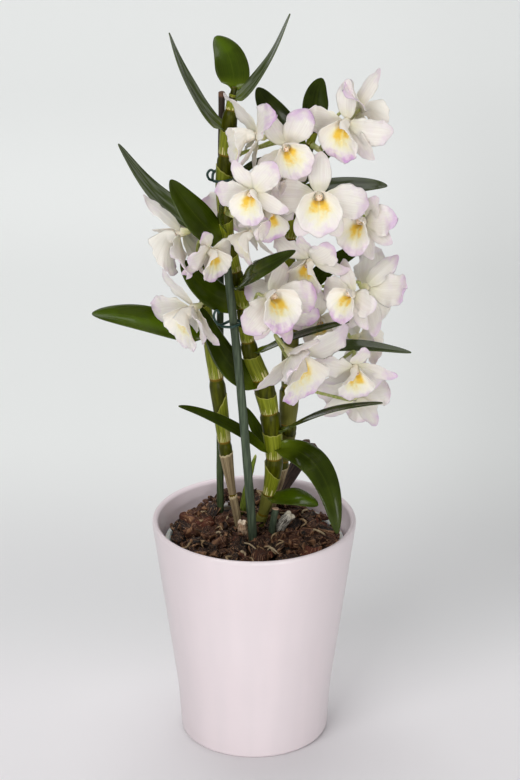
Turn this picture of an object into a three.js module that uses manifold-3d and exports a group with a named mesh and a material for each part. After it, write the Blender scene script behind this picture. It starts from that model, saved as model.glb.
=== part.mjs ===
// A potted dendrobium orchid, in millimetres, +Z up, with its origin at the middle of the pot's flat base.
// A glazed outer pot holds a slim liner pot full of bark. Jointed canes stand in the bark, held to green
// stakes by wire ties, and carry strap leaves and short sprays of white blooms with lilac tips.
// Front is -Y. Every leaf, cane and spray is one closed faceted solid in a node of its own.
import * as THREE from "three";
import { mergeVertices } from "three/addons/utils/BufferGeometryUtils.js";
import Module from "manifold-3d";

const wasm = await Module();
wasm.setup();

// ---------- driving dimensions ----------
const GAP = 0.3; // clearance between nodes that touch on the real plant
const POT_HEIGHT = 155;
const POT_RIM_RADIUS = 67.5;
const POT_FOOT_RADIUS = 49.5;
const POT_WALL = 4;
const POT_SIDES = 30;
const SHELF_HEIGHT = 33; // where the outer pot's slope begins, and where the liner pot stands inside
const SHELF_RADIUS = 51.4;
const LINER_RIM_RADIUS = 59.4;
const LINER_TOP = 139;
const LINER_WALL = 1.4;
const LINER_SIDES = 18;
const BARK_TOP = 139;
const BARK_CHIPS = 18;
const LEAF_THICKNESS = 0.9;
const TEPAL_THICKNESS = 0.8;

// ---------- vectors ----------
const vec = (p) => new THREE.Vector3(p[0], p[1], p[2]);
const radians = THREE.MathUtils.degToRad;
const smooth = (t) => {
  const x = Math.min(1, Math.max(0, t));
  return x * x * (3 - 2 * x);
};

// A repeatable draw from 0 to 1 for the pair of whole numbers a and b.
function draw(a, b) {
  const x = Math.sin(a * 12.9898 + b * 78.233) * 43758.5453;
  return x - Math.floor(x);
}

// ---------- solids ----------
// The closed surface of a three.js geometry as a solid.
function solidOf(geometry) {
  const g = geometry.index ? geometry.toNonIndexed() : geometry;
  const bare = new THREE.BufferGeometry().setAttribute("position", g.getAttribute("position"));
  const merged = mergeVertices(bare, 1e-4);
  return new wasm.Manifold(
    new wasm.Mesh({
      numProp: 3,
      vertProperties: merged.attributes.position.array,
      triVerts: new Uint32Array(merged.index.array),
    }),
  );
}

// A solid from corner points and triangles.
function solidFrom(points, triangles) {
  const g = new THREE.BufferGeometry();
  g.setAttribute("position", new THREE.BufferAttribute(new Float32Array(points.flat()), 3));
  g.setIndex(triangles.flat());
  return solidOf(g);
}

const union = (solids) => solids.reduce((sum, s) => sum.add(s));

// The largest body of a solid: a loose scrap left by a cut is dropped.
function largest(solid) {
  return solid.decompose().reduce((best, s) => (s.volume() > best.volume() ? s : best));
}

// A surface of revolution about Z from a closed profile of [radius, z] points that goes up the outside.
function turned(profile, sides) {
  const points = [...profile, profile[0]].map(([r, z]) => new THREE.Vector2(r, z));
  const g = new THREE.LatheGeometry(points, sides);
  g.rotateX(Math.PI / 2);
  return solidOf(g);
}

// ---------- a sweep of rings, for canes, stakes and stalks ----------
// rings are { centre, tangent, radius }; the section is a regular polygon and both ends are capped.
function sweptSolid(rings, sides) {
  const points = [];
  const triangles = [];
  let side = new THREE.Vector3(1, 0, 0);
  rings.forEach(({ centre, tangent, radius }) => {
    side = side.clone().addScaledVector(tangent, -side.dot(tangent)).normalize();
    const up = tangent.clone().cross(side);
    for (let k = 0; k < sides; k += 1) {
      const a = (2 * Math.PI * k) / sides;
      const p = centre.clone().addScaledVector(side, radius * Math.cos(a)).addScaledVector(up, radius * Math.sin(a));
      points.push(p.toArray());
    }
  });
  const last = rings.length - 1;
  for (let i = 0; i < last; i += 1) {
    for (let k = 0; k < sides; k += 1) {
      const a = i * sides + k;
      const b = i * sides + ((k + 1) % sides);
      triangles.push([a, b, b + sides], [a, b + sides, a + sides]);
    }
  }
  for (let k = 1; k < sides - 1; k += 1) {
    triangles.push([0, k + 1, k], [last * sides, last * sides + k, last * sides + k + 1]);
  }
  return solidFrom(points, triangles);
}

// A point and tangent at share t of a smooth curve through points.
function along(points, t) {
  const curve = new THREE.CatmullRomCurve3(points.map(vec), false, "catmullrom", 0.5);
  return { centre: curve.getPoint(t), tangent: curve.getTangent(t) };
}

// A plain round stalk through points, its radius running from r0 to r1.
function stalk(points, r0, r1, steps, sides) {
  const rings = [];
  for (let i = 0; i <= steps; i += 1) {
    const t = i / steps;
    rings.push({ ...along(points, t), radius: r0 + (r1 - r0) * t });
  }
  return sweptSolid(rings, sides);
}

// ---------- canes ----------
// Each cane has a path of [x, y, z, radius] points and the heights of its nodes. A node is a ring; the sheath
// of the old leaf wraps the lower half of each joint, and the bare joint above it swells towards the next ring.
const CANES = {
  cane_main: {
    path: [
      [-2, 17, 112, 3.0],
      [2, 17, 136, 3.0],
      [8, 16, 158, 3.8],
      [13, 13, 187, 5.4],
      [11, 10, 219, 6.1],
      [6, 8, 246, 6.3],
      [-3, 5, 273, 4.9],
      [-8, 2, 310, 4.2],
      [-16, 0, 346, 4.3],
      [-19, 0, 378, 4.7],
      [-17, 0, 404, 5.4],
      [-15, 0, 428, 4.4],
      [-12, 0, 449, 1.5],
    ],
    nodes: [150, 165, 193, 227, 252, 279, 303, 328, 350, 368, 406, 435, 443],
    sides: 6,
  },
  cane_right: {
    path: [
      [6, 33, 112, 2.6],
      [9, 32, 140, 2.8],
      [15, 30, 165, 4.0],
      [21, 27, 199, 5.3],
      [23, 24, 230, 5.8],
      [24, 21, 270, 5.1],
      [23, 18, 308, 4.5],
      [22, 17, 335, 4.2],
      [26, 16, 364, 4.0],
      [31, 15, 392, 3.6],
      [40, 13, 424, 1.5],
    ],
    nodes: [158, 184, 212, 240, 268, 294, 320, 345, 368, 390, 408],
    sides: 6,
  },
  cane_left: {
    path: [
      [-8, 18, 116, 2.2],
      [-11, 18, 144, 2.3],
      [-15, 19, 166, 2.5],
      [-19, 20, 195, 4.1],
      [-22, 20, 222, 4.7],
      [-25, 19, 248, 4.8],
      [-29, 16, 278, 3.9],
      [-32, 13, 305, 3.3],
      [-36, 8, 345, 1.7],
    ],
    nodes: [163, 201, 247, 285, 318],
    sides: 6,
  },
};

const pathPoints = (cane) => cane.path.map(([x, y, z]) => [x, y, z]);

// The share t of the cane's curve where it passes height z, by halving.
function shareAtHeight(cane, z) {
  let low = 0;
  let high = 1;
  for (let i = 0; i < 24; i += 1) {
    const mid = (low + high) / 2;
    if (along(pathPoints(cane), mid).centre.z < z) low = mid;
    else high = mid;
  }
  return (low + high) / 2;
}

// The cane's own radius at share t, straight between its path points.
function radiusAt(cane, t) {
  const at = t * (cane.path.length - 1);
  const i = Math.min(Math.floor(at), cane.path.length - 2);
  return cane.path[i][3] + (cane.path[i + 1][3] - cane.path[i][3]) * (at - i);
}

// A cane's solid; grow makes it that much fatter, for holes and clearances.
function caneSolid(cane, grow = 0) {
  const shares = cane.nodes.map((z) => shareAtHeight(cane, z));
  const stations = [[0, 1]];
  shares.forEach((t, i) => {
    const next = i + 1 < shares.length ? shares[i + 1] : 1;
    stations.push([t, 1.1], [t + (next - t) * 0.5, 1.06], [t + (next - t) * 0.56, 0.93]);
  });
  stations.push([1, 1]);
  const rings = stations.map(([t, swell]) => ({
    ...along(pathPoints(cane), t),
    radius: radiusAt(cane, t) * swell + grow,
  }));
  return sweptSolid(rings, cane.sides);
}

// ---------- thin sheets, for leaves, tepals and lips ----------
// A closed sheet round the surface at(u, v), u along rows and v across columns, split alike on both faces.
// Each face stands half the thickness off the surface, along the cross product of its two directions.
function sheetSolid(at, rows, columns, thickness) {
  const step = 1e-3;
  const upper = [];
  const lower = [];
  rows.forEach((u) => {
    columns.forEach((v) => {
      const alongU = at(u + step, v).sub(at(u - step, v));
      const acrossV = at(u, v + step).sub(at(u, v - step));
      const normal = acrossV.cross(alongU).normalize();
      upper.push(at(u, v).addScaledVector(normal, thickness / 2).toArray());
      lower.push(at(u, v).addScaledVector(normal, -thickness / 2).toArray());
    });
  });
  const m = rows.length - 1;
  const n = columns.length - 1;
  const stride = n + 1;
  const offset = (m + 1) * stride;
  const triangles = [];
  for (let i = 0; i < m; i += 1) {
    for (let j = 0; j < n; j += 1) {
      const a = i * stride + j;
      const b = a + 1;
      const c = a + stride;
      const d = c + 1;
      triangles.push([a, b, d], [a, d, c]);
      triangles.push([a + offset, d + offset, b + offset], [a + offset, c + offset, d + offset]);
    }
  }
  const edge = [];
  for (let j = 0; j < n; j += 1) edge.push([j, j + 1]);
  for (let i = 0; i < m; i += 1) edge.push([i * stride + n, (i + 1) * stride + n]);
  for (let j = n; j > 0; j -= 1) edge.push([m * stride + j, m * stride + j - 1]);
  for (let i = m; i > 0; i -= 1) edge.push([i * stride, (i - 1) * stride]);
  edge.forEach(([a, b]) => triangles.push([a, b + offset, b], [a, a + offset, b + offset]));
  return solidFrom([...upper, ...lower], triangles);
}

const evenly = (from, to, steps) => Array.from({ length: steps + 1 }, (_, i) => from + ((to - from) * i) / steps);

// The surface of a blade. Its midline is the quadratic curve base - bend - tip. Across it, a point at v from -1
// to 1 lies v half-widths to the side, lifted by the fold, and waved at its edges.
function bladeSurface({ base, bend, tip, face, width, outline, fold = 0, wave = 0, turn = 0 }) {
  const curve = new THREE.QuadraticBezierCurve3(vec(base), vec(bend), vec(tip));
  return (u, v) => {
    const tangent = vec(bend).sub(vec(base)).multiplyScalar(1 - u).addScaledVector(vec(tip).sub(vec(bend)), u);
    tangent.normalize();
    const normal = vec(face).applyAxisAngle(tangent, radians(turn) * u);
    normal.addScaledVector(tangent, -normal.dot(tangent)).normalize();
    const side = tangent.clone().cross(normal);
    const half = (width / 2) * outline(Math.min(1, Math.max(0, u)));
    const lift = fold * Math.abs(v) * half + wave * v * v * Math.sin(7.5 * u + 2.6 * v);
    return curve.getPoint(u).addScaledVector(side, v * half).addScaledVector(normal, lift);
  };
}

const leafOutline = (u) => 0.16 + 0.86 * Math.sin(Math.PI * Math.min(0.985, 0.06 + 0.93 * u ** 0.85)) ** 0.72;
const sepalOutline = (u) => 0.06 + 0.96 * Math.sin(Math.PI * (0.03 + 0.93 * u ** 0.85)) ** 0.8;
const petalOutline = (u) => 0.04 + 0.98 * Math.sin(Math.PI * (0.025 + 0.895 * u ** 1.1)) ** 0.75;

// ---------- leaves ----------
// base is a cane and a height on it; bend and tip are points; face is where the upper side looks; turn is the
// twist from base to tip, in degrees.
const leaf = (on, at, bend, tip, width, face, turn = 0) => ({ on, at, bend, tip, width, face, turn });
const LEAVES = [
  leaf("cane_main", 421, [-40, -8, 443], [-52, 2, 483], 14, [0.78, -0.48, 0.42], 20),
  leaf("cane_main", 446, [-10, 12, 461], [-24, 26, 474], 21, [0.15, -0.8, 0.55]),
  leaf("cane_main", 441, [8, -14, 458], [22, -18, 500], 15, [-0.8, -0.36, 0.48], -18),
  leaf("cane_right", 400, [12, 13, 426], [2, 16, 444], 18, [0.35, -0.85, 0.3]),
  leaf("cane_right", 420, [36, 22, 433], [43, 30, 446], 16, [0.1, -0.9, 0.4]),
  leaf("cane_right", 376, [58, 14, 382], [84, 5, 383], 15, [0, -0.45, 0.9]),
  leaf("cane_right", 383, [36, 4, 395], [50, -2, 410], 12, [-0.4, -0.6, 0.7]),
  leaf("cane_main", 353, [-58, 14, 360], [-86, 24, 405], 17, [0.35, -0.75, 0.55], 35),
  leaf("cane_main", 350, [-38, -15.9, 365.9], [-52, -12, 392.9], 21, [0.55, -0.75, 0.35]),
  leaf("cane_main", 355, [-29.6, -20, 390.7], [6.3, -4, 405], 12, [0.95, -0.3, 0.1]),
  leaf("cane_main", 318, [-8, -38, 338], [26, -37, 355], 15, [-0.35, -0.6, 0.7]),
  leaf("cane_main", 304, [-34, -8, 316], [-46, -10, 339], 20, [0.45, -0.7, 0.55]),
  leaf("cane_main", 247, [-22, -2, 262], [-34, 1, 303], 18, [0.55, -0.75, 0.35]),
  leaf("cane_left", 276, [-68, 7, 296], [-104, 2, 298], 20, [0.1, -0.6, 0.8]),
  leaf("cane_main", 195, [-14, -4, 228], [-49, -10, 239], 10, [0.2, -0.5, 0.85]),
  leaf("cane_main", 194, [2, 25, 206], [-7, 30, 222], 10, [0.5, -0.6, 0.6]),
  leaf("cane_main", 210, [44, -8, 238], [83, -12, 242], 12, [-0.1, 0, 1]),
  leaf("cane_main", 269, [28, -20.1, 294], [60.1, -30, 305.1], 12, [-0.3, -0.12, 0.95]),
  leaf("cane_right", 266, [60, 6, 278], [101, -5, 274], 12, [0, -0.3, 0.95]),
  leaf("cane_right", 300, [46, 18, 326], [75, 4, 347], 14, [-0.35, -0.6, 0.7]),
  leaf("cane_main", 200, [48, -22, 217.5], [54, -28, 156], 20, [0.35, -0.75, 0.55]),
  leaf("cane_main", 162, [27, 0, 173], [42, -4, 165], 15, [0, -0.45, 0.9]),
  leaf("cane_right", 322, [14, 40, 326], [0, 60, 312], 15, [-0.2, 0.3, 0.9]),
  leaf("cane_right", 347, [42, 38, 350], [52, 62, 330], 15, [0.2, 0.3, 0.9]),
];

// A leaf starts just clear of its cane's skin, on the side that it bends towards.
function leafSolid(blade) {
  const cane = CANES[blade.on];
  const t = shareAtHeight(cane, blade.at);
  const { centre, tangent } = along(pathPoints(cane), t);
  const out = vec(blade.bend).sub(centre);
  out.addScaledVector(tangent, -out.dot(tangent)).normalize();
  const base = centre.clone().addScaledVector(out, radiusAt(cane, t) * 1.1 + 2 * GAP);
  const surface = bladeSurface({ ...blade, base: base.toArray(), outline: leafOutline, fold: 0.22 });
  return sheetSolid(surface, [0, 0.15, 0.36, 0.6, 0.82, 1], [-1, 0, 1], LEAF_THICKNESS);
}

// ---------- blooms ----------
// A bloom's own frame: z looks out of its throat, y points to its top sepal, and its tepals join at z = 0, THROAT
// behind the mouth of the lip. at is the throat; az and el give where the bloom looks (az 0 is the front, positive
// to the right), and roll leans its top to the right.
const THROAT = 9;
const SEPAL = { length: 28, width: 12.5 };
const PETAL = { length: 30, width: 19 };
const LIP = { radius: 13.6, drop: 8, mouth: 4.4, root: 3.5 };
// Each tepal: the turn from the top, clockwise from the front, and how far its tip comes forward.
const TEPALS = [
  { turn: 0, forward: -2, petal: false },
  { turn: 84, forward: -3, petal: true },
  { turn: -84, forward: -3, petal: true },
  { turn: 143, forward: -4, petal: false },
  { turn: -143, forward: -4, petal: false },
];

// tepals, where given, sets [turn, forward] for the top sepal, right petal, left petal, right and left sepals.
const SPRAYS = {
  spray_crown: {
    on: "cane_main",
    at: 409,
    blooms: [
      {
        at: [-6, -18.3, 423.3], az: -80, el: 7, roll: -18, size: 1.05,
        tepals: [[-31, 20], [64, -3], [-81, -3], [149, 16], [-162, -2]],
      },
      {
        at: [20, -31.1, 418], az: 3, el: 1, roll: -40, size: 0.9,
        tepals: [[9, -8], [69, 2], [-106, -11], [165, -4], [-167, -3]],
      },
    ],
  },
  spray_top_right: {
    on: "cane_right",
    at: 408,
    blooms: [
      {
        at: [53, -20, 429], az: -33, el: -13, roll: -9, size: 1,
        tepals: [[10, -6], [114, -10], [-83, -2], [152, 2], [-144, -3]],
      },
      {
        at: [71, 6, 433], az: 115, el: 4, roll: 22, size: 1,
        tepals: [[-40, 15], [108, 17], [-62, -16], [145, -3], [-144, -3]],
      },
    ],
  },
  spray_upper_right: {
    on: "cane_right",
    at: 374,
    blooms: [
      {
        at: [40, -40, 390], az: 0, el: 12, roll: 0, size: 1.05,
        tepals: [[3, -2], [96, -2], [-88, -3], [150, -5], [-150, -2]],
      },
      {
        at: [64, -24, 369], az: -40, el: 10, roll: -14, size: 0.95,
        tepals: [[54, 13], [86, 6], [-82, -3], [119, 7], [-179, -6]],
      },
      {
        at: [21.2, -19.4, 390.6], az: 66, el: -16, roll: 19, size: 0.8,
        tepals: [[-10, 4], [84, -3], [-70, 6], [143, 2], [-93, 17]],
      },
    ],
  },
  spray_upper_left: {
    on: "cane_main",
    at: 368,
    blooms: [
      {
        at: [-3, -50, 395], az: -25, el: -4, roll: -5, size: 0.85,
        tepals: [[-22, 6], [42, -3], [-92, 4], [125, -6], [-142, -3]],
      },
      {
        at: [11, -24.6, 373.1], az: 20, el: -24, roll: 7, size: 0.85,
        tepals: [[-16, -3], [103, -10], [-86, -3], [143, -3], [-142, -3]],
      },
      {
        at: [-6, -18.3, 357.2], az: -62, el: -20, roll: 0, size: 0.85,
        tepals: [[0, 2], [60, -5], [-81, 0], [165, -8], [-143, -2]],
      },
    ],
  },
  spray_middle: {
    on: "cane_right",
    at: 336,
    blooms: [
      {
        at: [32.6, -20, 337.4], az: -28, el: -24, roll: 5, size: 0.9,
        tepals: [[-6, 6], [44, 2], [-53, 1], [95, 0], [-142, -2]],
      },
      { at: [42, -4, 293], az: 7, el: -25, roll: 0, size: 0.8 },
    ],
  },
  spray_middle_front: {
    on: "cane_main",
    at: 303,
    blooms: [
      {
        at: [14, -46.3, 328.2], az: 35, el: 15, roll: 9, size: 1.05,
        tepals: [[37, -9], [95, 7], [-134, 2], [165, 11], [-168, -5]],
      },
      {
        at: [16, -26, 317], az: -12, el: -4, roll: 6, size: 0.9,
        tepals: [[-30, -4], [112, -2], [-84, -2], [150, 0], [-150, 4]],
      },
    ],
  },
  spray_middle_right: {
    on: "cane_right",
    at: 311,
    blooms: [
      {
        at: [58.1, -31.8, 324.1], az: -45, el: 16, roll: -8, size: 0.85,
        tepals: [[-27, 2], [106, 6], [-86, 1], [163, -9], [-137, -6]],
      },
      {
        at: [75, -5.5, 316.8], az: 140, el: -30, roll: -10, size: 1.05,
        tepals: [[-19, 5], [43, 12], [-72, -2], [175, 9], [-141, 9]],
      },
    ],
  },
  spray_lower_right: {
    on: "cane_right",
    at: 240,
    blooms: [
      {
        at: [30.8, -40.7, 280.8], az: 42, el: -22, roll: 4, size: 1.3,
        tepals: [[-24, 20], [66, 4], [-60, 24], [150, -3], [-165, -6]],
      },
      {
        at: [66, -16, 263], az: 14, el: -27, roll: 8, size: 0.9,
        tepals: [[-4, 9], [123, 2], [-86, -3], [86, 13], [-143, -3]],
      },
      {
        at: [69, 16, 236], az: 152, el: -10, roll: -10, size: 0.9,
        tepals: [[0, -2], [100, -2], [-60, 0], [140, -2], [-120, -2]],
      },
      { at: [74, 32, 271], az: 115, el: -5, roll: 20, size: 0.85 },
    ],
  },
  spray_left: {
    on: "cane_left",
    at: 340,
    blooms: [
      {
        at: [-54.1, -3.7, 352.5], az: -100, el: -20, roll: 5, size: 1.15,
        tepals: [[8, 12], [120, -4], [-110, -7], [160, -8], [-149, -9]],
      },
      {
        at: [-24, -20.9, 346.3], az: 41, el: -15, roll: 11, size: 0.8,
        tepals: [[-45, 7], [82, -2], [-92, 9], [147, -3], [-146, -3]],
      },
    ],
  },
  spray_back: {
    on: "cane_main",
    at: 360,
    blooms: [{ at: [-10, 46, 356], az: 172, el: 0, roll: 0, size: 0.85 }],
  },
  spray_left_low: {
    on: "cane_left",
    at: 318,
    blooms: [
      {
        at: [-45, -18, 305], az: -55, el: -18, roll: -10, size: 1.1,
        tepals: [[-18, 6], [98, 14], [-90, 11], [139, 3], [-136, -3]],
      },
    ],
  },
};

// A bloom's axes in the plant's frame, as a matrix.
function bloomFrame(bloom) {
  const az = radians(bloom.az);
  const el = radians(bloom.el);
  const z = new THREE.Vector3(Math.sin(az) * Math.cos(el), -Math.cos(az) * Math.cos(el), Math.sin(el));
  const y = new THREE.Vector3(0, 0, 1).addScaledVector(z, -z.z).normalize();
  y.applyAxisAngle(z, -radians(bloom.roll));
  const x = y.clone().cross(z);
  const origin = vec(bloom.at).addScaledVector(z, -THROAT * bloom.size);
  const scale = new THREE.Vector3().setScalar(bloom.size);
  return new THREE.Matrix4().makeBasis(x, y, z).scale(scale).setPosition(origin);
}

// One sepal or petal, in the bloom's frame, with a seeded lean of its own. Petals stand in front of sepals.
function tepalSolid(tepal, seed, index) {
  const a = radians(tepal.turn + (draw(seed, index) - 0.5) * 6);
  const forward = tepal.forward + (draw(seed, index + 10) - 0.5) * 3;
  const length = (tepal.petal ? PETAL : SEPAL).length * (0.95 + 0.1 * draw(seed, index + 20));
  const root = tepal.petal ? 1.9 : 0.5;
  const at = (radius, z) => [Math.sin(a) * radius, Math.cos(a) * radius, z];
  const surface = bladeSurface({
    base: at(2.1, root),
    bend: at(length * 0.55, root + (tepal.petal ? 4 : 1) + forward * 0.3),
    tip: at(length, root + forward),
    face: [0, 0, 1],
    width: (tepal.petal ? PETAL : SEPAL).width,
    outline: tepal.petal ? petalOutline : sepalOutline,
    fold: 0.12,
    wave: tepal.petal ? 0.8 : 0.3,
  });
  const rows = tepal.petal ? [0, 0.25, 0.55, 0.82, 1] : [0, 0.3, 0.68, 1];
  return sheetSolid(surface, rows, [-1, 1], TEPAL_THICKNESS);
}

// The lip's surface: a tube from the root of the tepals to the mouth, opening into a deep round bell that hangs below
// it. v runs round from one side of the slit at the top, under the throat, to the other; u runs outwards. Only the
// underside of the tube, near v = 0, grows from the swollen root of the column.
function lipSurface(u, v) {
  const a = radians(152 * v);
  const tube = Math.min(1, u / 0.36);
  const dish = Math.max(0, (u - 0.36) / 0.64);
  const root = LIP.root - 1.6 * Math.max(0, 1 - 2 * Math.abs(v));
  const near = root + (LIP.mouth - root) * tube;
  const radius = near + (LIP.radius - near) * dish;
  const z = 2.4 + 1.8 * v * v * (1 - tube) + 6.1 * tube + 8 * dish - 2.2 * dish * dish * Math.cos(a);
  return new THREE.Vector3(-radius * Math.sin(a), -radius * Math.cos(a) - LIP.drop * dish, z);
}

// A whole bloom in the plant's frame: five tepals, the lip, and the column on its swollen root.
function bloomSolid(bloom, seed) {
  const column = turned([[0, -4], [1.4, -4], [2.8, 1], [1.5, 8.6], [0, 8.6]], 5);
  const poses = bloom.tepals ?? [];
  const parts = TEPALS.map(({ petal, ...usual }, i) => {
    const [turn, forward] = poses[i] ?? [usual.turn, usual.forward];
    return tepalSolid({ turn, forward, petal }, seed, i);
  });
  const lip = sheetSolid(lipSurface, [0, 0.42, 1], evenly(-1, 1, 6), TEPAL_THICKNESS);
  return union([...parts, lip, column]).transform(bloomFrame(bloom).elements);
}

// The stalk of a bloom, from its place on the spray's peduncle to the back of the bloom.
function pedicelSolid(bloom, start) {
  const frame = bloomFrame(bloom);
  const back = new THREE.Vector3(0, 0, -3).applyMatrix4(frame);
  const behind = new THREE.Vector3(0, 0, -12).applyMatrix4(frame);
  return stalk([start.toArray(), behind.toArray(), back.toArray()], 1.1, 1.2, 3, 3);
}

// A spray: a short peduncle that leaves its cane towards the blooms, and a stalk to each bloom from inside it.
const PEDUNCLE = { length: 9, radius: 2 };
let bloomSeed = 0;
function spraySolid(spray) {
  const cane = CANES[spray.on];
  const t = shareAtHeight(cane, spray.at);
  const { centre, tangent } = along(pathPoints(cane), t);
  const middle = spray.blooms.reduce((sum, b) => sum.add(vec(b.at)), new THREE.Vector3());
  const out = middle.divideScalar(spray.blooms.length).sub(centre);
  out.addScaledVector(tangent, -out.dot(tangent)).normalize();
  const root = centre.clone().addScaledVector(out, radiusAt(cane, t) * 0.8);
  const end = root.clone().addScaledVector(out, PEDUNCLE.length);
  const peduncle = stalk([root.toArray(), end.toArray()], PEDUNCLE.radius, PEDUNCLE.radius * 0.9, 1, 5);
  const parts = spray.blooms.flatMap((bloom, k) => {
    bloomSeed += 1;
    const start = root.clone().addScaledVector(out, PEDUNCLE.length - 1.4 - 0.9 * k);
    start.addScaledVector(tangent, 0.5 * (k - (spray.blooms.length - 1) / 2));
    return [bloomSolid(bloom, bloomSeed), pedicelSolid(bloom, start)];
  });
  return union([peduncle, ...parts]);
}

// ---------- stakes, ties and old growth ----------
const STAKES = {
  stake_front: { path: [[3.2, -2, 84], [-8, -8, 242], [-17, -12, 337]], radii: [3, 2.6] },
  stake_tall: { path: [[-23, 35, 104], [-22.5, 29, 245], [-20, 12, 442]], radii: [2.5, 2.1] },
  stake_right: { path: [[8.5, 6, 100], [12, 8, 142], [14.2, 8.8, 157]], radii: [2.5, 2.3] },
};
const STAKE_SIDES = 8;

// Old growth near the bark: a cut brown bulb, a young shoot, and two dried stubs. Paths are [x, y, z, radius].
const GROWTH = {
  cane_old: [[9, 44, 126, 2.8], [15, 46, 146, 3.4], [27, 51, 166, 4.4], [38.5, 56, 185, 4.4]],
  shoot_young: [[-9, 33, 128, 2.4], [-7, 33, 150, 2.3], [-3, 31, 171, 2], [1, 29, 187, 0.9]],
  stub_cut: [[-6, 3, 130, 2.4], [-7.5, 3.5, 143, 3.3], [-8.5, 4, 151, 2.2]],
  stub_dry: [[12.5, 14, 133, 2.8], [17.5, 13, 142, 3.5], [25, 12, 152, 3.2]],
};

// A round stem whose radius follows its path.
function stemSolid(path, grow = 0) {
  const steps = 2 * (path.length - 1);
  const rings = evenly(0, 1, steps).map((t) => ({
    ...along(pathPoints({ path }), t),
    radius: radiusAt({ path }, t) + grow,
  }));
  return sweptSolid(rings, 6);
}

// A wire tie: a closed loop in a nearly level plane, round everything it binds.
const TIES = {
  tie_upper: [
    [-25, -3, 389], [-18.6, -6.8, 390], [-12, -3, 391], [-12, 8, 391],
    [-16.4, 18, 391], [-20.6, 20.8, 390], [-25.2, 15, 389], [-26, 5, 389],
  ],
  tie_lower: [
    [-8.4, -10.8, 297], [-12.6, -15, 296], [-17.2, -13.3, 295], [-20.8, -9.8, 294.5],
    [-18.2, -6.2, 295], [-12.7, -5.9, 297],
  ],
};
const TIE_RADIUS = 0.9;

function tieSolid(points) {
  const path = new THREE.CatmullRomCurve3(points.map(vec), true, "catmullrom", 0.5);
  const section = new THREE.Shape().absarc(0, 0, TIE_RADIUS, 0, 2 * Math.PI);
  return solidOf(new THREE.ExtrudeGeometry(section, { steps: 12, extrudePath: path, curveSegments: 3 }));
}

function stakeSolid({ path, radii }, grow = 0) {
  return stalk(path, radii[0] + grow, radii[1] + grow, 4, STAKE_SIDES);
}

// ---------- pots and bark ----------
function outerPot() {
  const inside = POT_RIM_RADIUS - POT_WALL;
  const lip = POT_WALL / 2;
  const profile = [
    [0, 0],
    [POT_FOOT_RADIUS - 1.8, 0],
    [POT_FOOT_RADIUS, 1.8],
    [SHELF_RADIUS - 0.3, SHELF_HEIGHT - 4],
    [SHELF_RADIUS + 0.4, SHELF_HEIGHT + 3],
    [POT_RIM_RADIUS, POT_HEIGHT - 2],
    [POT_RIM_RADIUS - 0.8, POT_HEIGHT - 0.3],
    [POT_RIM_RADIUS - lip, POT_HEIGHT],
    [inside, POT_HEIGHT - 1.6],
    [SHELF_RADIUS - POT_WALL + 0.6, SHELF_HEIGHT + 3],
    [SHELF_RADIUS - POT_WALL, SHELF_HEIGHT],
    [SHELF_RADIUS - POT_WALL - 5, SHELF_HEIGHT],
    [SHELF_RADIUS - POT_WALL - 6, 5],
    [0, 5],
  ];
  return turned(profile, POT_SIDES);
}

const LINER_FOOT = SHELF_HEIGHT + GAP;
const LINER_FOOT_RADIUS = 44;

function linerPot() {
  const neck = LINER_RIM_RADIUS - 2.2;
  const shell = turned(
    [
      [0, LINER_FOOT],
      [LINER_FOOT_RADIUS, LINER_FOOT],
      [LINER_FOOT_RADIUS + 0.8, LINER_FOOT + 1.2],
      [neck, LINER_TOP - 4],
      [LINER_RIM_RADIUS, LINER_TOP - 3.4],
      [LINER_RIM_RADIUS, LINER_TOP],
      [neck - 0.4, LINER_TOP],
      [neck - LINER_WALL, LINER_TOP - 1],
      [LINER_FOOT_RADIUS - LINER_WALL, LINER_FOOT + 2.4],
      [0, LINER_FOOT + 2.4],
    ],
    LINER_SIDES,
  );
  const hole = new THREE.CylinderGeometry(3.5, 3.5, 12, 6).rotateX(Math.PI / 2);
  const drains = [0, 1, 2, 3].map((k) => {
    const a = (Math.PI * (2 * k + 1)) / 4;
    return solidOf(hole.clone().translate(30 * Math.cos(a), 30 * Math.sin(a), LINER_FOOT));
  });
  return shell.subtract(union(drains));
}

// Bark: a plug that fills the liner pot, with chips half sunk in its top by a seeded spiral.
function barkSolid(holes) {
  const bottom = LINER_FOOT + 2.4 + GAP;
  const low = LINER_FOOT_RADIUS - LINER_WALL - GAP - 0.4;
  const high = LINER_RIM_RADIUS - 2.2 - LINER_WALL - GAP - 0.4;
  const plug = turned(
    [[0, bottom], [low, bottom], [high, BARK_TOP - 3], [high - 3, BARK_TOP], [0, BARK_TOP + 2]],
    LINER_SIDES,
  );
  const chips = [];
  for (let i = 0; i < BARK_CHIPS; i += 1) {
    const r = (high - 9) * Math.sqrt((i + 0.5) / BARK_CHIPS);
    const a = 2.39996 * i;
    const size = [9 + 6 * draw(i, 31), 7 + 4 * draw(i, 32), 6 + 4 * draw(i, 33)];
    const chip = new THREE.BoxGeometry(...size);
    const p = chip.attributes.position;
    for (let k = 0; k < p.count; k += 1) {
      const corner = (p.getX(k) > 0 ? 1 : 0) + (p.getY(k) > 0 ? 2 : 0) + (p.getZ(k) > 0 ? 4 : 0);
      p.setXYZ(
        k,
        p.getX(k) * (0.55 + 0.6 * draw(i, 40 + corner)),
        p.getY(k) * (0.55 + 0.6 * draw(i, 50 + corner)),
        p.getZ(k) * (0.6 + 0.5 * draw(i, 60 + corner)),
      );
    }
    chip.rotateZ(2 * Math.PI * draw(i, 34)).rotateX(0.9 * (draw(i, 35) - 0.5));
    chip.translate(r * Math.cos(a), r * Math.sin(a), BARK_TOP + 0.5 + 2.5 * draw(i, 36) + 1.5 * (1 - r / high));
    chips.push(solidOf(chip));
  }
  return largest(union([plug, ...chips]).subtract(union(holes)));
}

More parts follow.
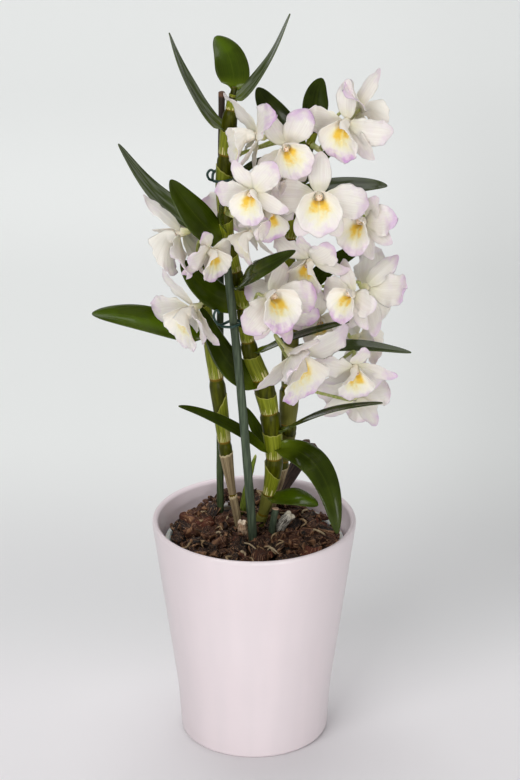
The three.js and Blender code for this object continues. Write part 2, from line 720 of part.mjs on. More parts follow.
// ---------- materials ----------
const finish = (color, roughness) => new THREE.MeshStandardMaterial({ color, roughness, metalness: 0 });
const MATERIALS = {
  pot: finish(0xe6dadd, 0.45),
  liner: finish(0xd8dcd6, 0.4),
  bark: finish(0x4a2c1e, 0.95),
  cane: finish(0x6b7a22, 0.45),
  leaf: finish(0x2f4a16, 0.4),
  bloom: finish(0xf1ebef, 0.6),
  stake: finish(0x2c4a3c, 0.6),
  wire: finish(0x1f3a33, 0.4),
  husk: finish(0xb07c5a, 0.8),
  old_cane: finish(0x4a2f22, 0.85),
};
const GROWTH_MATERIAL = { cane_old: "old_cane", shoot_young: "cane", stub_cut: "husk", stub_dry: "husk" };

// ---------- the plant ----------
const group = new THREE.Group();

function addNode(name, solid, material) {
  const made = solid.getMesh();
  const g = new THREE.BufferGeometry();
  const stride = made.numProp;
  const points = new Float32Array(made.numVert * 3);
  for (let i = 0; i < made.numVert; i += 1) {
    points.set(made.vertProperties.subarray(i * stride, i * stride + 3), i * 3);
  }
  g.setAttribute("position", new THREE.BufferAttribute(points, 3));
  g.setIndex(new THREE.BufferAttribute(made.triVerts, 1));
  g.computeVertexNormals();
  const mesh = new THREE.Mesh(g, material);
  mesh.name = name;
  group.add(mesh);
}

const growth = Object.entries(GROWTH).map(([name, path]) => [name, stemSolid(path), stemSolid(path, GAP)]);
const canesGrown = Object.values(CANES).map((cane) => caneSolid(cane, GAP));
const stakesGrown = Object.values(STAKES).map((stake) => stakeSolid(stake, GAP));
const standing = union([...canesGrown, ...stakesGrown]);

addNode("outer_pot", outerPot(), MATERIALS.pot);
addNode("liner_pot", linerPot(), MATERIALS.liner);
addNode("bark", barkSolid([...canesGrown, ...stakesGrown, ...growth.map((g) => g[2])]), MATERIALS.bark);
Object.entries(CANES).forEach(([name, cane]) => addNode(name, caneSolid(cane), MATERIALS.cane));
Object.entries(STAKES).forEach(([name, stake]) => addNode(name, stakeSolid(stake), MATERIALS.stake));
growth.forEach(([name, solid]) => addNode(name, solid, MATERIALS[GROWTH_MATERIAL[name]]));
Object.entries(TIES).forEach(([name, points]) => addNode(name, tieSolid(points), MATERIALS.wire));
LEAVES.forEach((blade, i) => {
  const name = `leaf_${String(i + 1).padStart(2, "0")}`;
  addNode(name, largest(leafSolid(blade).subtract(standing)), MATERIALS.leaf);
});
Object.entries(SPRAYS).forEach(([name, spray]) => {
  addNode(name, largest(spraySolid(spray).subtract(standing)), MATERIALS.bloom);
});

export default group;
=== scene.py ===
# %% [markdown]
# # A potted dendrobium orchid
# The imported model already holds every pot, cane, leaf, stake and spray as plain faceted solids. This lesson
# dresses them: each node is replaced by a finer surface worked out from the same named values, and each finish
# is built from nodes that follow the surface. Everything is worked out in millimetres and put down in metres.

import math

import bpy
import numpy as np
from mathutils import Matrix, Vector


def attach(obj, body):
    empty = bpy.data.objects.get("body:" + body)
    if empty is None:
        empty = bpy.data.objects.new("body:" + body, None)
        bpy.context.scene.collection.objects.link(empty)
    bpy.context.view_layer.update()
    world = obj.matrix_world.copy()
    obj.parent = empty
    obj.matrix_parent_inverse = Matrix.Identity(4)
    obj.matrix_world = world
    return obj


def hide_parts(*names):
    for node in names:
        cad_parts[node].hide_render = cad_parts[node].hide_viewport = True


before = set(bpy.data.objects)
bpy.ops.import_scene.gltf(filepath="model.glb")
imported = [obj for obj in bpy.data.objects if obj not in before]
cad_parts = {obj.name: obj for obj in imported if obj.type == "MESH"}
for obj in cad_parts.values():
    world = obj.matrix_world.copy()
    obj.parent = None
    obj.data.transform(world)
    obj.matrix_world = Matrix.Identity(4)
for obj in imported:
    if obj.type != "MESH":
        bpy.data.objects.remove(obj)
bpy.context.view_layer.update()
MM = 0.001
NUDGE = 0.001  # the step along a curve over which its direction is measured
FULL_TURN = 6.283
print("nodes in the frame:", len(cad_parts))

# %% [markdown]
# ## The plant's skeleton
# A dendrobium's shape is set by three things: where its canes run, where leaves leave them, and where each bloom
# sits and looks. These tables hold the same values as the solids do, so that a finer surface lands on its solid.

# %% Canes: path points with a radius, and the heights of the nodes
CANES = {
    "cane_main": dict(path=[
        (-2, 17, 112, 3.0), (2, 17, 136, 3.0), (8, 16, 158, 3.8), (13, 13, 187, 5.4),
        (11, 10, 219, 6.1), (6, 8, 246, 6.3), (-3, 5, 273, 4.9), (-8, 2, 310, 4.2),
        (-16, 0, 346, 4.3), (-19, 0, 378, 4.7), (-17, 0, 404, 5.4), (-15, 0, 428, 4.4),
        (-12, 0, 449, 1.5),
    ], nodes=[150, 165, 193, 227, 252, 279, 303, 328, 350, 368, 406, 435, 443]),
    "cane_right": dict(path=[
        (6, 33, 112, 2.6), (9, 32, 140, 2.8), (15, 30, 165, 4.0), (21, 27, 199, 5.3),
        (23, 24, 230, 5.8), (24, 21, 270, 5.1), (23, 18, 308, 4.5), (22, 17, 335, 4.2),
        (26, 16, 364, 4.0), (31, 15, 392, 3.6), (40, 13, 424, 1.5),
    ], nodes=[158, 184, 212, 240, 268, 294, 320, 345, 368, 390, 408]),
    "cane_left": dict(path=[
        (-8, 18, 116, 2.2), (-11, 18, 144, 2.3), (-15, 19, 166, 2.5), (-19, 20, 195, 4.1),
        (-22, 20, 222, 4.7), (-25, 19, 248, 4.8), (-29, 16, 278, 3.9), (-32, 13, 305, 3.3),
        (-36, 8, 345, 1.7),
    ], nodes=[163, 201, 247, 285, 318]),
}
# Leaves: the cane and the height where each leaves it, bend and tip of its midline, width, way it faces, twist.
LEAVES = [
    ("cane_main", 421, (-40, -8, 443), (-52, 2, 483), 14, (0.78, -0.48, 0.42), 20),
    ("cane_main", 446, (-10, 12, 461), (-24, 26, 474), 21, (0.15, -0.8, 0.55)),
    ("cane_main", 441, (8, -14, 458), (22, -18, 500), 15, (-0.8, -0.36, 0.48), -18),
    ("cane_right", 400, (12, 13, 426), (2, 16, 444), 18, (0.35, -0.85, 0.3)),
    ("cane_right", 420, (36, 22, 433), (43, 30, 446), 16, (0.1, -0.9, 0.4)),
    ("cane_right", 376, (58, 14, 382), (84, 5, 383), 15, (0, -0.45, 0.9)),
    ("cane_right", 383, (36, 4, 395), (50, -2, 410), 12, (-0.4, -0.6, 0.7)),
    ("cane_main", 353, (-58, 14, 360), (-86, 24, 405), 17, (0.35, -0.75, 0.55), 35),
    ("cane_main", 350, (-38, -15.9, 365.9), (-52, -12, 392.9), 21, (0.55, -0.75, 0.35)),
    ("cane_main", 355, (-29.6, -20, 390.7), (6.3, -4, 405), 12, (0.95, -0.3, 0.1)),
    ("cane_main", 318, (-8, -38, 338), (26, -37, 355), 15, (-0.35, -0.6, 0.7)),
    ("cane_main", 304, (-34, -8, 316), (-46, -10, 339), 20, (0.45, -0.7, 0.55)),
    ("cane_main", 247, (-22, -2, 262), (-34, 1, 303), 18, (0.55, -0.75, 0.35)),
    ("cane_left", 276, (-68, 7, 296), (-104, 2, 298), 20, (0.1, -0.6, 0.8)),
    ("cane_main", 195, (-14, -4, 228), (-49, -10, 239), 10, (0.2, -0.5, 0.85)),
    ("cane_main", 194, (2, 25, 206), (-7, 30, 222), 10, (0.5, -0.6, 0.6)),
    ("cane_main", 210, (44, -8, 238), (83, -12, 242), 12, (-0.1, 0, 1)),
    ("cane_main", 269, (28, -20.1, 294), (60.1, -30, 305.1), 12, (-0.3, -0.12, 0.95)),
    ("cane_right", 266, (60, 6, 278), (101, -5, 274), 12, (0, -0.3, 0.95)),
    ("cane_right", 300, (46, 18, 326), (75, 4, 347), 14, (-0.35, -0.6, 0.7)),
    ("cane_main", 200, (48, -22, 217.5), (54, -28, 156), 20, (0.35, -0.75, 0.55)),
    ("cane_main", 162, (27, 0, 173), (42, -4, 165), 15, (0, -0.45, 0.9)),
    ("cane_right", 322, (14, 40, 326), (0, 60, 312), 15, (-0.2, 0.3, 0.9)),
    ("cane_right", 347, (42, 38, 350), (52, 62, 330), 15, (0.2, 0.3, 0.9)),
]
# Sprays: the cane and the height, then blooms: middle of the mouth, azimuth, elevation, roll and size, and each
# tepal's turn from the top in degrees and lean forward in mm; an empty list stands for the usual ones.
SPRAYS = {
    "spray_crown": ("cane_main", 409, [
        ((-6, -18.3, 423.3), -80, 7, -18, 1.05, [(-31, 20), (64, -3), (-81, -3), (149, 16), (-162, -2)]),
        ((20, -31.1, 418), 3, 1, -40, 0.9, [(9, -8), (69, 2), (-106, -11), (165, -4), (-167, -3)]),
    ]),
    "spray_top_right": ("cane_right", 408, [
        ((53, -20, 429), -33, -13, -9, 1, [(10, -6), (114, -10), (-83, -2), (152, 2), (-144, -3)]),
        ((71, 6, 433), 115, 4, 22, 1, [(-40, 15), (108, 17), (-62, -16), (145, -3), (-144, -3)]),
    ]),
    "spray_upper_right": ("cane_right", 374, [
        ((40, -40, 390), 0, 12, 0, 1.05, [(3, -2), (96, -2), (-88, -3), (150, -5), (-150, -2)]),
        ((64, -24, 369), -40, 10, -14, 0.95, [(54, 13), (86, 6), (-82, -3), (119, 7), (-179, -6)]),
        ((21.2, -19.4, 390.6), 66, -16, 19, 0.8, [(-10, 4), (84, -3), (-70, 6), (143, 2), (-93, 17)]),
    ]),
    "spray_upper_left": ("cane_main", 368, [
        ((-3, -50, 395), -25, -4, -5, 0.85, [(-22, 6), (42, -3), (-92, 4), (125, -6), (-142, -3)]),
        ((11, -24.6, 373.1), 20, -24, 7, 0.85, [(-16, -3), (103, -10), (-86, -3), (143, -3), (-142, -3)]),
        ((-6, -18.3, 357.2), -62, -20, 0, 0.85, [(0, 2), (60, -5), (-81, 0), (165, -8), (-143, -2)]),
    ]),
    "spray_middle": ("cane_right", 336, [
        ((32.6, -20, 337.4), -28, -24, 5, 0.9, [(-6, 6), (44, 2), (-53, 1), (95, 0), (-142, -2)]),
        ((42, -4, 293), 7, -25, 0, 0.8, []),
    ]),
    "spray_middle_front": ("cane_main", 303, [
        ((14, -46.3, 328.2), 35, 15, 9, 1.05, [(37, -9), (95, 7), (-134, 2), (165, 11), (-168, -5)]),
        ((16, -26, 317), -12, -4, 6, 0.9, [(-30, -4), (112, -2), (-84, -2), (150, 0), (-150, 4)]),
    ]),
    "spray_middle_right": ("cane_right", 311, [
        ((58.1, -31.8, 324.1), -45, 16, -8, 0.85, [(-27, 2), (106, 6), (-86, 1), (163, -9), (-137, -6)]),
        ((75, -5.5, 316.8), 140, -30, -10, 1.05, [(-19, 5), (43, 12), (-72, -2), (175, 9), (-141, 9)]),
    ]),
    "spray_lower_right": ("cane_right", 240, [
        ((30.8, -40.7, 280.8), 42, -22, 4, 1.3, [(-24, 20), (66, 4), (-60, 24), (150, -3), (-165, -6)]),
        ((66, -16, 263), 14, -27, 8, 0.9, [(-4, 9), (123, 2), (-86, -3), (86, 13), (-143, -3)]),
        ((69, 16, 236), 152, -10, -10, 0.9, [(0, -2), (100, -2), (-60, 0), (140, -2), (-120, -2)]),
        ((74, 32, 271), 115, -5, 20, 0.85, []),
    ]),
    "spray_left": ("cane_left", 340, [
        ((-54.1, -3.7, 352.5), -100, -20, 5, 1.15, [(8, 12), (120, -4), (-110, -7), (160, -8), (-149, -9)]),
        ((-24, -20.9, 346.3), 41, -15, 11, 0.8, [(-45, 7), (82, -2), (-92, 9), (147, -3), (-146, -3)]),
    ]),
    "spray_back": ("cane_main", 360, [
        ((-10, 46, 356), 172, 0, 0, 0.85, []),
    ]),
    "spray_left_low": ("cane_left", 318, [
        ((-45, -18, 305), -55, -18, -10, 1.1, [(-18, 6), (98, 14), (-90, 11), (139, 3), (-136, -3)]),
    ]),
}
print("canes:", len(CANES), "leaves:", len(LEAVES), "sprays:", len(SPRAYS))

# %% [markdown]
# ## Curves and grids
# Nearly every part of a plant is a sheet or a tube. Both are a grid of points: rows run along the part, columns run
# across or round it. One helper turns such grids into a mesh, with a few numbers kept at each point for the finish.

# %% Curves
def catmull(points, t):
    """Catmull-Rom curve at share t of its run: b + w/2 ((c-a) + w ((2a-5b+4c-d) + w (3(b-c)+d-a))) between b and c."""
    p = np.asarray(points, float)
    p = np.vstack([2 * p[0] - p[1], p, 2 * p[-1] - p[-2]])
    s = np.clip(t, 0, 1) * (len(p) - 3)
    i = np.minimum(s.astype(int), len(p) - 4)
    w = (s - i)[..., None]
    a, b, c, d = p[i], p[i + 1], p[i + 2], p[i + 3]
    return b + 0.5 * w * ((c - a) + w * ((2 * a - 5 * b + 4 * c - d) + w * (3 * (b - c) + d - a)))


def unit(v):
    """v divided by its length, along the last axis."""
    return v / np.maximum(np.linalg.norm(v, axis=-1, keepdims=True), 1e-12)


def smooth(x):
    """x^2 (3 - 2x), held between 0 and 1."""
    x = np.clip(x, 0, 1)
    return x * x * (3 - 2 * x)


def hump(x, width):
    """e^-(x / width)^2: 1 where x is 0, falling to nothing on both sides."""
    return np.exp(-(x / width) ** 2)


def angles(count):
    """That many angles from 0 up to, but not at, 2 pi."""
    return np.linspace(0, 2 * np.pi, count, endpoint=False)


def down_and_round(rows, sides):
    """Two grids for a tube: the share from 0 to 1 down its rows, and the angle round its columns."""
    return np.meshgrid(np.linspace(0, 1, rows), angles(sides), indexing="ij")


def draw(a, b):
    """A repeatable draw from 0 to 1: the fraction of sin(12.9898 a + 78.233 b) times 43758.5453."""
    return np.modf(np.sin(np.asarray(a) * 12.9898 + np.asarray(b) * 78.233) * 43758.5453)[0] % 1.0


def ring_axes(tangent):
    """Two directions across each tangent: the flattest world axis less its part along the tangent, and their cross."""
    start = np.zeros(3)
    start[np.argmin(np.abs(tangent.mean(0)))] = 1
    side = unit(start - tangent * (tangent @ start)[..., None])
    return side, np.cross(tangent, side)


def rings(side, up, sides):
    """side cos a + up sin a for each row, at that many angles a from 0 to 2 pi."""
    a = angles(sides)
    return side[:, None] * np.cos(a)[None, :, None] + up[:, None] * np.sin(a)[None, :, None]


def tube_grid(centre, radius, sides):
    """centre + radius (side cos a + up sin a); radius may be one number a row or a full grid."""
    side, up = ring_axes(unit(np.gradient(centre, axis=0)))
    radius = np.broadcast_to(np.asarray(radius, float).reshape(len(centre), -1), (len(centre), sides))
    return centre[:, None] + rings(side, up, sides) * radius[..., None]


# %% A piece gathers grids and becomes one mesh
def cells(k):
    """The quads between the neighbours in a grid of point numbers."""
    return np.stack([k[:-1, :-1], k[:-1, 1:], k[1:, 1:], k[1:, :-1]], -1).reshape(-1, 4)


def show(name, data):
    """A new object that holds the data, linked to the scene."""
    obj = bpy.data.objects.new(name, data)
    bpy.context.scene.collection.objects.link(obj)
    return obj


class Piece:
    """Grids of points joined in one mesh. Each point keeps place = (u, v, seed) and side = 1 on an upper face."""

    def __init__(self):
        self.points, self.faces, self.place, self.side, self.slots = [], [], [], [], []
        self.count = 0

    def add(self, points, faces, place, side, slot):
        """Points, faces as rows of four indices (a triangle repeats its last), and the number of their finish."""
        self.points.append(np.asarray(points, float).reshape(-1, 3))
        self.faces.append(np.asarray(faces, int) + self.count)
        self.place.append(np.asarray(place, float).reshape(-1, 3))
        self.side.append(np.broadcast_to(np.asarray(side, float), len(self.points[-1])))
        self.slots.append(np.full(len(faces), slot))
        self.count += len(self.points[-1])

    def sheet(self, grid, normal, thickness, u, v, seed=0.0, slot=0):
        """A closed sheet: grid + and - normal thickness / 2, thinning to nothing along its border."""
        m, n = grid.shape[:2]
        border = np.zeros((m, n), bool)
        border[[0, -1]] = border[:, [0, -1]] = True
        half = normal * (np.broadcast_to(thickness, (m, n)) / 2 * ~border)[..., None]
        top = np.arange(m * n).reshape(m, n)
        low = top.copy()
        low[~border] = m * n + np.arange((~border).sum())
        place = np.stack([u, v, np.full((m, n), seed)], -1)
        points = np.vstack([(grid + half).reshape(-1, 3), (grid - half)[~border]])
        side = np.concatenate([np.where(border, 0.5, 1.0).ravel(), np.zeros((~border).sum())])
        places = np.vstack([place.reshape(-1, 3), place[~border]])
        self.add(points, np.vstack([cells(top), cells(low)[:, ::-1]]), places, side, slot)

    def tube(self, grid, u=None, v=None, seed=0.0, slot=0):
        """A closed tube from a grid whose columns go round; each end closes on a point at its ring's middle."""
        m, n = grid.shape[:2]
        u = np.broadcast_to(np.linspace(0, 1, m)[:, None], (m, n)) if u is None else u
        v = np.broadcast_to(np.linspace(0, 1, n, endpoint=False)[None], (m, n)) if v is None else v
        k = np.arange(m * n).reshape(m, n)
        r = np.roll(k, -1, axis=1)
        a, b = np.full(n, m * n), np.full(n, m * n + 1)
        caps = [np.stack([a, r[0], k[0], k[0]], -1), np.stack([b, k[-1], r[-1], r[-1]], -1)]
        points = np.vstack([grid.reshape(-1, 3), grid[0].mean(0), grid[-1].mean(0)])
        place = np.stack([u, v, np.full((m, n), seed)], -1).reshape(-1, 3)
        place = np.vstack([place, [u[0, 0], 0.5, seed], [u[-1, 0], 0.5, seed]])
        self.add(points, np.vstack([cells(np.hstack([k, k[:, :1]])), *caps]), place, 1.0, slot)

    def build(self, name, finishes, nodes, body="root", flat=False):
        """The mesh object in metres: its finishes, and the nodes it replaces."""
        points = np.vstack(self.points) * MM
        faces = np.vstack(self.faces)
        three = faces[:, 2] == faces[:, 3]
        sizes = np.where(three, 3, 4)
        keep = np.ones(faces.shape, bool)
        keep[three, 3] = False
        mesh = bpy.data.meshes.new(name)
        mesh.vertices.add(len(points))
        mesh.vertices.foreach_set("co", points.ravel())
        mesh.loops.add(int(sizes.sum()))
        mesh.loops.foreach_set("vertex_index", faces[keep].astype(np.int32))
        mesh.polygons.add(len(faces))
        mesh.polygons.foreach_set("loop_start", np.concatenate([[0], np.cumsum(sizes)[:-1]]).astype(np.int32))
        mesh.polygons.foreach_set("material_index", np.concatenate(self.slots).astype(np.int32))
        mesh.polygons.foreach_set("use_smooth", np.full(len(faces), not flat))
        mesh.attributes.new("place", "FLOAT_VECTOR", "POINT").data.foreach_set("vector", np.vstack(self.place).ravel())
        mesh.attributes.new("side", "FLOAT", "POINT").data.foreach_set("value", np.concatenate(self.side))
        mesh.update()
        mesh.validate()
        for finish in finishes:
            mesh.materials.append(Finish.made[finish])
        obj = show(name, mesh)
        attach(obj, body)
        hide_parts(*nodes)
        print(f"{name}: {len(points)} points, {int((sizes - 2).sum())} triangles")

# %% [markdown]
# ## Finishes
# A finish is a small network of nodes. The helper below keeps such networks short: each call adds one node, sets
# its values and links its inputs. Colours are given as they look on a screen, and turned to linear light.

# %% Node helpers
def colour(text):
    """A screen colour such as "8a9a3c" in linear light: ((c + 0.055) / 1.055) ^ 2.4 above 0.04045, else c / 12.92."""
    c = np.array([int(text[i:i + 2], 16) / 255 for i in (0, 2, 4)])
    return (*np.where(c > 0.04045, ((c + 0.055) / 1.055) ** 2.4, c / 12.92), 1.0)


class Finish:
    """A material and its Principled shader, with short calls that add and link nodes."""

    made = {}

    def __init__(self, name, **values):
        """Starts the material and keeps it in made under its name; values are sockets that are the same all over."""
        self.made[name] = bpy.data.materials.new(name)
        self.made[name].use_nodes = True
        self.tree = self.made[name].node_tree
        self.shader = self.tree.nodes["Principled BSDF"]
        for key, value in values.items():
            self.shader.inputs[key.replace("_", " ")].default_value = value

    def put(self, socket, value):
        """Links an output socket, or sets a plain value; text is a screen colour."""
        if isinstance(value, bpy.types.NodeSocket):
            self.tree.links.new(value, socket)
        else:
            socket.default_value = colour(value) if isinstance(value, str) else value

    def node(self, kind, inputs, **props):
        """A node of that kind, its properties set and its inputs filled, by number or name."""
        n = self.tree.nodes.new("ShaderNode" + kind)
        for key, value in props.items():
            setattr(n, key, value)
        for key, value in inputs.items():
            self.put(n.inputs[key], value)
        return n

    def share(self, value):
        """The value itself, or, for a tuple, the ramp of its numbers."""
        return self.ramp(*value) if isinstance(value, tuple) else value

    def math(self, operation, *values):
        """One step of arithmetic on one or two values."""
        return self.node("Math", dict(enumerate(values)), operation=operation).outputs[0]

    def times(self, *values):
        """The product of all the values, of which a tuple stands for a ramp."""
        out = self.share(values[0])
        for value in values[1:]:
            out = self.math("MULTIPLY", out, self.share(value))
        return out

    def ramp(self, value, low, high, a=0.0, b=1.0):
        """a + (b - a) smooth((value - low) / (high - low))."""
        inputs = {0: value, 1: low, 2: high, 3: a, 4: b}
        return self.node("MapRange", inputs, interpolation_type="SMOOTHSTEP").outputs[0]

    def mix(self, share, a, b):
        """The colour a (1 - share) + b share, where a tuple for the share stands for a ramp."""
        return self.node("Mix", {0: self.share(share), 6: a, 7: b}, data_type="RGBA").outputs[2]

    def coats(self, tone, *layers):
        """The tone with each pair (share, colour) laid over it in turn."""
        for share, over in layers:
            tone = self.mix(share, tone, over)
        return tone

    def place(self):
        """The u, v and seed kept at each point."""
        n = self.node("Attribute", {}, attribute_name="place")
        return self.node("SeparateXYZ", {0: n.outputs["Vector"]}).outputs

    def side(self):
        """1 on an upper face, 0 on a lower one."""
        return self.node("Attribute", {}, attribute_name="side").outputs["Fac"]

    def where(self, z=1):
        """Object coordinates in metres, with the height times z; a small z draws out along the height."""
        n = self.node("TexCoord", {})
        return self.node("Mapping", {"Vector": n.outputs["Object"], "Scale": (1, 1, z)}).outputs[0]

    def noise(self, vector, scale, detail, rough):
        """Cloudy noise about 0.5, scale waves to the unit, with detail octaves that each weigh rough of the last."""
        inputs = {"Vector": vector, "Scale": scale, "Detail": detail, "Roughness": rough}
        return self.node("TexNoise", inputs).outputs[0]

    def cloud(self, scale, detail=3.0, rough=0.5, z=1):
        """Noise in Object coordinates, drawn out along the height by a small z."""
        return self.noise(self.where(z), scale, detail, rough)

    def streaks(self, a, b, c, scale, detail, rough=0.5):
        """Noise at the point (a, b, c), made of a piece's own places, so that it runs along with the surface."""
        return self.noise(self.node("CombineXYZ", {0: a, 1: b, 2: c}).outputs[0], scale, detail, rough)

    def bump(self, height, strength, distance=0.0005):
        """Leans the shading as if the surface rose by strength height distance, in metres."""
        inputs = {"Strength": strength, "Distance": distance, "Height": height}
        self.put(self.shader.inputs["Normal"], self.node("Bump", inputs).outputs[0])

    def base(self, value):
        """Sets or links the surface's own colour."""
        self.put(self.shader.inputs["Base Color"], value)

    def roughness(self, value):
        """Sets or links how far the surface scatters its sheen."""
        self.put(self.shader.inputs["Roughness"], value)


# %% [markdown]
# ## The stage
# A seamless sweep of pale paper: a flat floor that turns up in a wide curve. The corner is soft, and the sweep ends
# low enough to look over it from behind. Light and shade are painted into the paper's colour: a darker band just
# behind the pot, a lighter stretch further back, and a darkening to the right that stands in for the fall of the light
# and the plant's shadow. The camera looks slightly down at the pot, from far off with a long lens.

# %% Floor and sweep
def sweep_profile(y):
    """Depth and height at run y: flat to the bend, then (bend + r sin a, r (1 - cos a)) with a = (y - bend) / r."""
    bend, radius = 0.9, 0.55
    a = np.maximum(y - bend, 0) / radius
    return np.minimum(y, bend) + radius * np.sin(a), radius * (1 - np.cos(a))


y, z = sweep_profile(np.linspace(-3.2, 1.6, 130)[:, None])
grid = np.stack(np.broadcast_arrays(np.linspace(-4, 4, 9), y, z), -1)
quads = cells(np.arange(grid.size // 3).reshape(grid.shape[:2]))
mesh = bpy.data.meshes.new("stage_sweep")
mesh.from_pydata(grid.reshape(-1, 3).tolist(), [], quads.tolist())
mesh.polygons.foreach_set("use_smooth", np.ones(len(quads), bool))
sweep = show("stage_sweep", mesh)
f = Finish("stage_paper", Roughness=0.9, Specular_IOR_Level=0.15)
x, y, z = f.node("SeparateXYZ", {0: f.where()}).outputs
# Painted shade: the paper darkens to the right of and behind the pot, fading up the sweep, in place of the light's
# falloff and the plant's shadow.
painted_shade_right = f.times((x, 0.07, 0.27, 0, 0.16), (y, 0.08, 0.32), (z, 0.0, 0.12, 1, 0.3))
# Painted light and shade in the paper's tone: a darker band just behind the pot, lighter further back, slightly darker
# up the sweep.
f.base(f.coats(
    f.mix((y, 0.0, 0.18), "eeecee", "e4e4e5"),
    ((y, 0.18, 0.5), "f5f7f6"),
    ((z, 0.005, 0.1), "ebedec"),
    (painted_shade_right, "303030")))
mesh.materials.append(Finish.made["stage_paper"])
print("stage:", len(quads), "quads")

# %% Camera
PITCH = 22.8
camera = show("camera", bpy.data.cameras.new("camera"))
camera.data.lens = 120
camera.data.sensor_width = 36
camera.data.sensor_fit = "AUTO"
camera.location = (0.0038, -1.5522, 0.8985)
camera.rotation_euler = (math.radians(90 - PITCH), 0, 0)
bpy.context.scene.camera = camera
print("camera looks down by", PITCH, "degrees")

# %% Lights
def softbox(name, place, target, size, watts):
    """A rectangular area light at place that faces target."""
    light = bpy.data.lights.new(name, "AREA")
    light.shape = "RECTANGLE"
    light.size, light.size_y = size
    light.energy = watts
    obj = show(name, light)
    obj.location = place
    obj.rotation_euler = (Vector(target) - Vector(place)).to_track_quat("-Z", "Y").to_euler()


softbox("key", (-1.2, -2.0, 1.8), (0, 0, 0.25), (1.6, 1.6), watts=34)
softbox("front", (0.7, -2.2, 0.3), (0, 0, 0.05), (1.8, 0.6), watts=20)
softbox("top", (-0.1, 0.8, 2.6), (0, 0.5, 0.2), (1.9, 1.9), watts=35)
world = bpy.context.scene.world = bpy.context.scene.world or bpy.data.worlds.new("studio")
world.use_nodes = True
sky = world.node_tree.nodes["Background"].inputs
sky["Color"].default_value, sky["Strength"].default_value = (1, 1, 1, 1), 0.2
bpy.context.scene.view_settings.view_transform = "Standard"
print("three softboxes and an even sky")

# %% [markdown]
# ## The two pots
# Both pots are turned shapes, so each is one profile carried round the axis. The outer pot is glazed earthenware:
# its edges are rounded by the glaze, and its sides are a hair out of true. The inner pot is thin pale plastic with
# a rolled rim. Rounded corners come from a curve through close points, as a potter's rib would leave them.

# %% Turned shapes
def rounded(profile, radius):
    """Each corner of an open profile swapped for a quadratic curve that starts and ends radius (or less) away."""
    p = [np.asarray(q, float) for q in profile]
    out = [p[0]]
    for a, b, c in zip(p, p[1:], p[2:]):
        reach_in = min(radius, 0.45 * np.linalg.norm(a - b))
        reach_out = min(radius, 0.45 * np.linalg.norm(c - b))
        start, end = b + unit(a - b) * reach_in, b + unit(c - b) * reach_out
        w = np.linspace(0, 1, 7)[:, None]
        out += list((1 - w) ** 2 * start + 2 * w * (1 - w) * b + w * w * end)
    return np.array(out + [p[-1]])


def turned(piece, profile, sides, out_of_true=0.0):
    """(r cos a, r sin a, z) from a profile that starts and ends on the axis; r wanders by out_of_true mm."""
    a = angles(sides)
    r, z = profile[1:-1, 0][:, None], profile[1:-1, 1][:, None]
    r = r + out_of_true * np.sin(2 * a + 0.02 * z) + 0.5 * out_of_true * np.sin(3 * a - 0.05 * z)
    grid = np.stack([r * np.cos(a), r * np.sin(a), np.broadcast_to(z, r.shape)], -1)
    piece.tube(grid)


outer = rounded([(0, 0), (47.7, 0), (49.5, 1.8), (51.1, 29), (51.8, 36), (67.5, 153), (66.7, 154.9), (65.3, 155),
                 (63.5, 153.4), (48, 36), (47.4, 33), (42.4, 33), (41.4, 5), (0, 5)], 1.2)
WALL_SLOPE = 0.133  # how much the wall's radius grows with height, which tells its outer from its inner face
f = Finish("pink_glaze", Roughness=0.38, Coat_Weight=0.3, Coat_Roughness=0.1)
x, y, z = f.node("SeparateXYZ", {0: f.where()}).outputs
radius = f.math("SQRT", f.math("ADD", f.times(x, x), f.times(y, y)))
# Painted light: the inner face of the wall is coloured a lighter pink, brightening the inside of the pot where it lies
# in shade.
face = f.math("SUBTRACT", radius, f.times(z, WALL_SLOPE))
bands = f.cloud(55, 2, z=0.02)
f.base(f.coats(
    f.mix(f.cloud(22, 4, 0.6), "e4d7da", "eadfe2"),
    ((bands, 0.35, 0.65, 0, 0.5), "e0d6d9"),
    ((face, 0.0445, 0.0457, 1, 0), "f4e6ec")))
f.roughness(f.ramp(f.cloud(60), 0.3, 0.7, 0.32, 0.44))
f.bump(f.cloud(90, 2), 0.06)
pot = Piece()
turned(pot, outer, 160, out_of_true=0.12)
pot.build("glazed_pot", ["pink_glaze"], ["outer_pot"])

# %% The inner pot, with its four drain holes left to the solid
f = Finish("pale_plastic", Roughness=0.35, Subsurface_Weight=0.15)
f.base("cccac5")
f.bump(f.cloud(150, 2, z=0.2), 0.04)
inner = rounded([(0, 33.3), (44, 33.3), (44.8, 34.5), (57.2, 135), (59.4, 135.6), (59.4, 138.6), (59.1, 139),
                 (56.8, 139), (55.8, 138), (42.6, 35.7), (0, 35.7)], 0.5)
liner = Piece()
turned(liner, inner, 120)
liner.build("inner_pot", ["pale_plastic"], ["liner_pot"])

# %% [markdown]
# ## Bark
# Orchids stand in coarse bark chips, dark and damp, with some chips split to a redder or tan face, and pale root
# ends and straws between them. A chip is a bent slab: a rounded box whose corners are pushed in and out by a few
# sine waves, drawn afresh for each chip and left flat-faced, as bark breaks in facets. Small chips are laid first,
# on a sunflower spiral so that none are left out, and large ones over them; they heap up at the back.

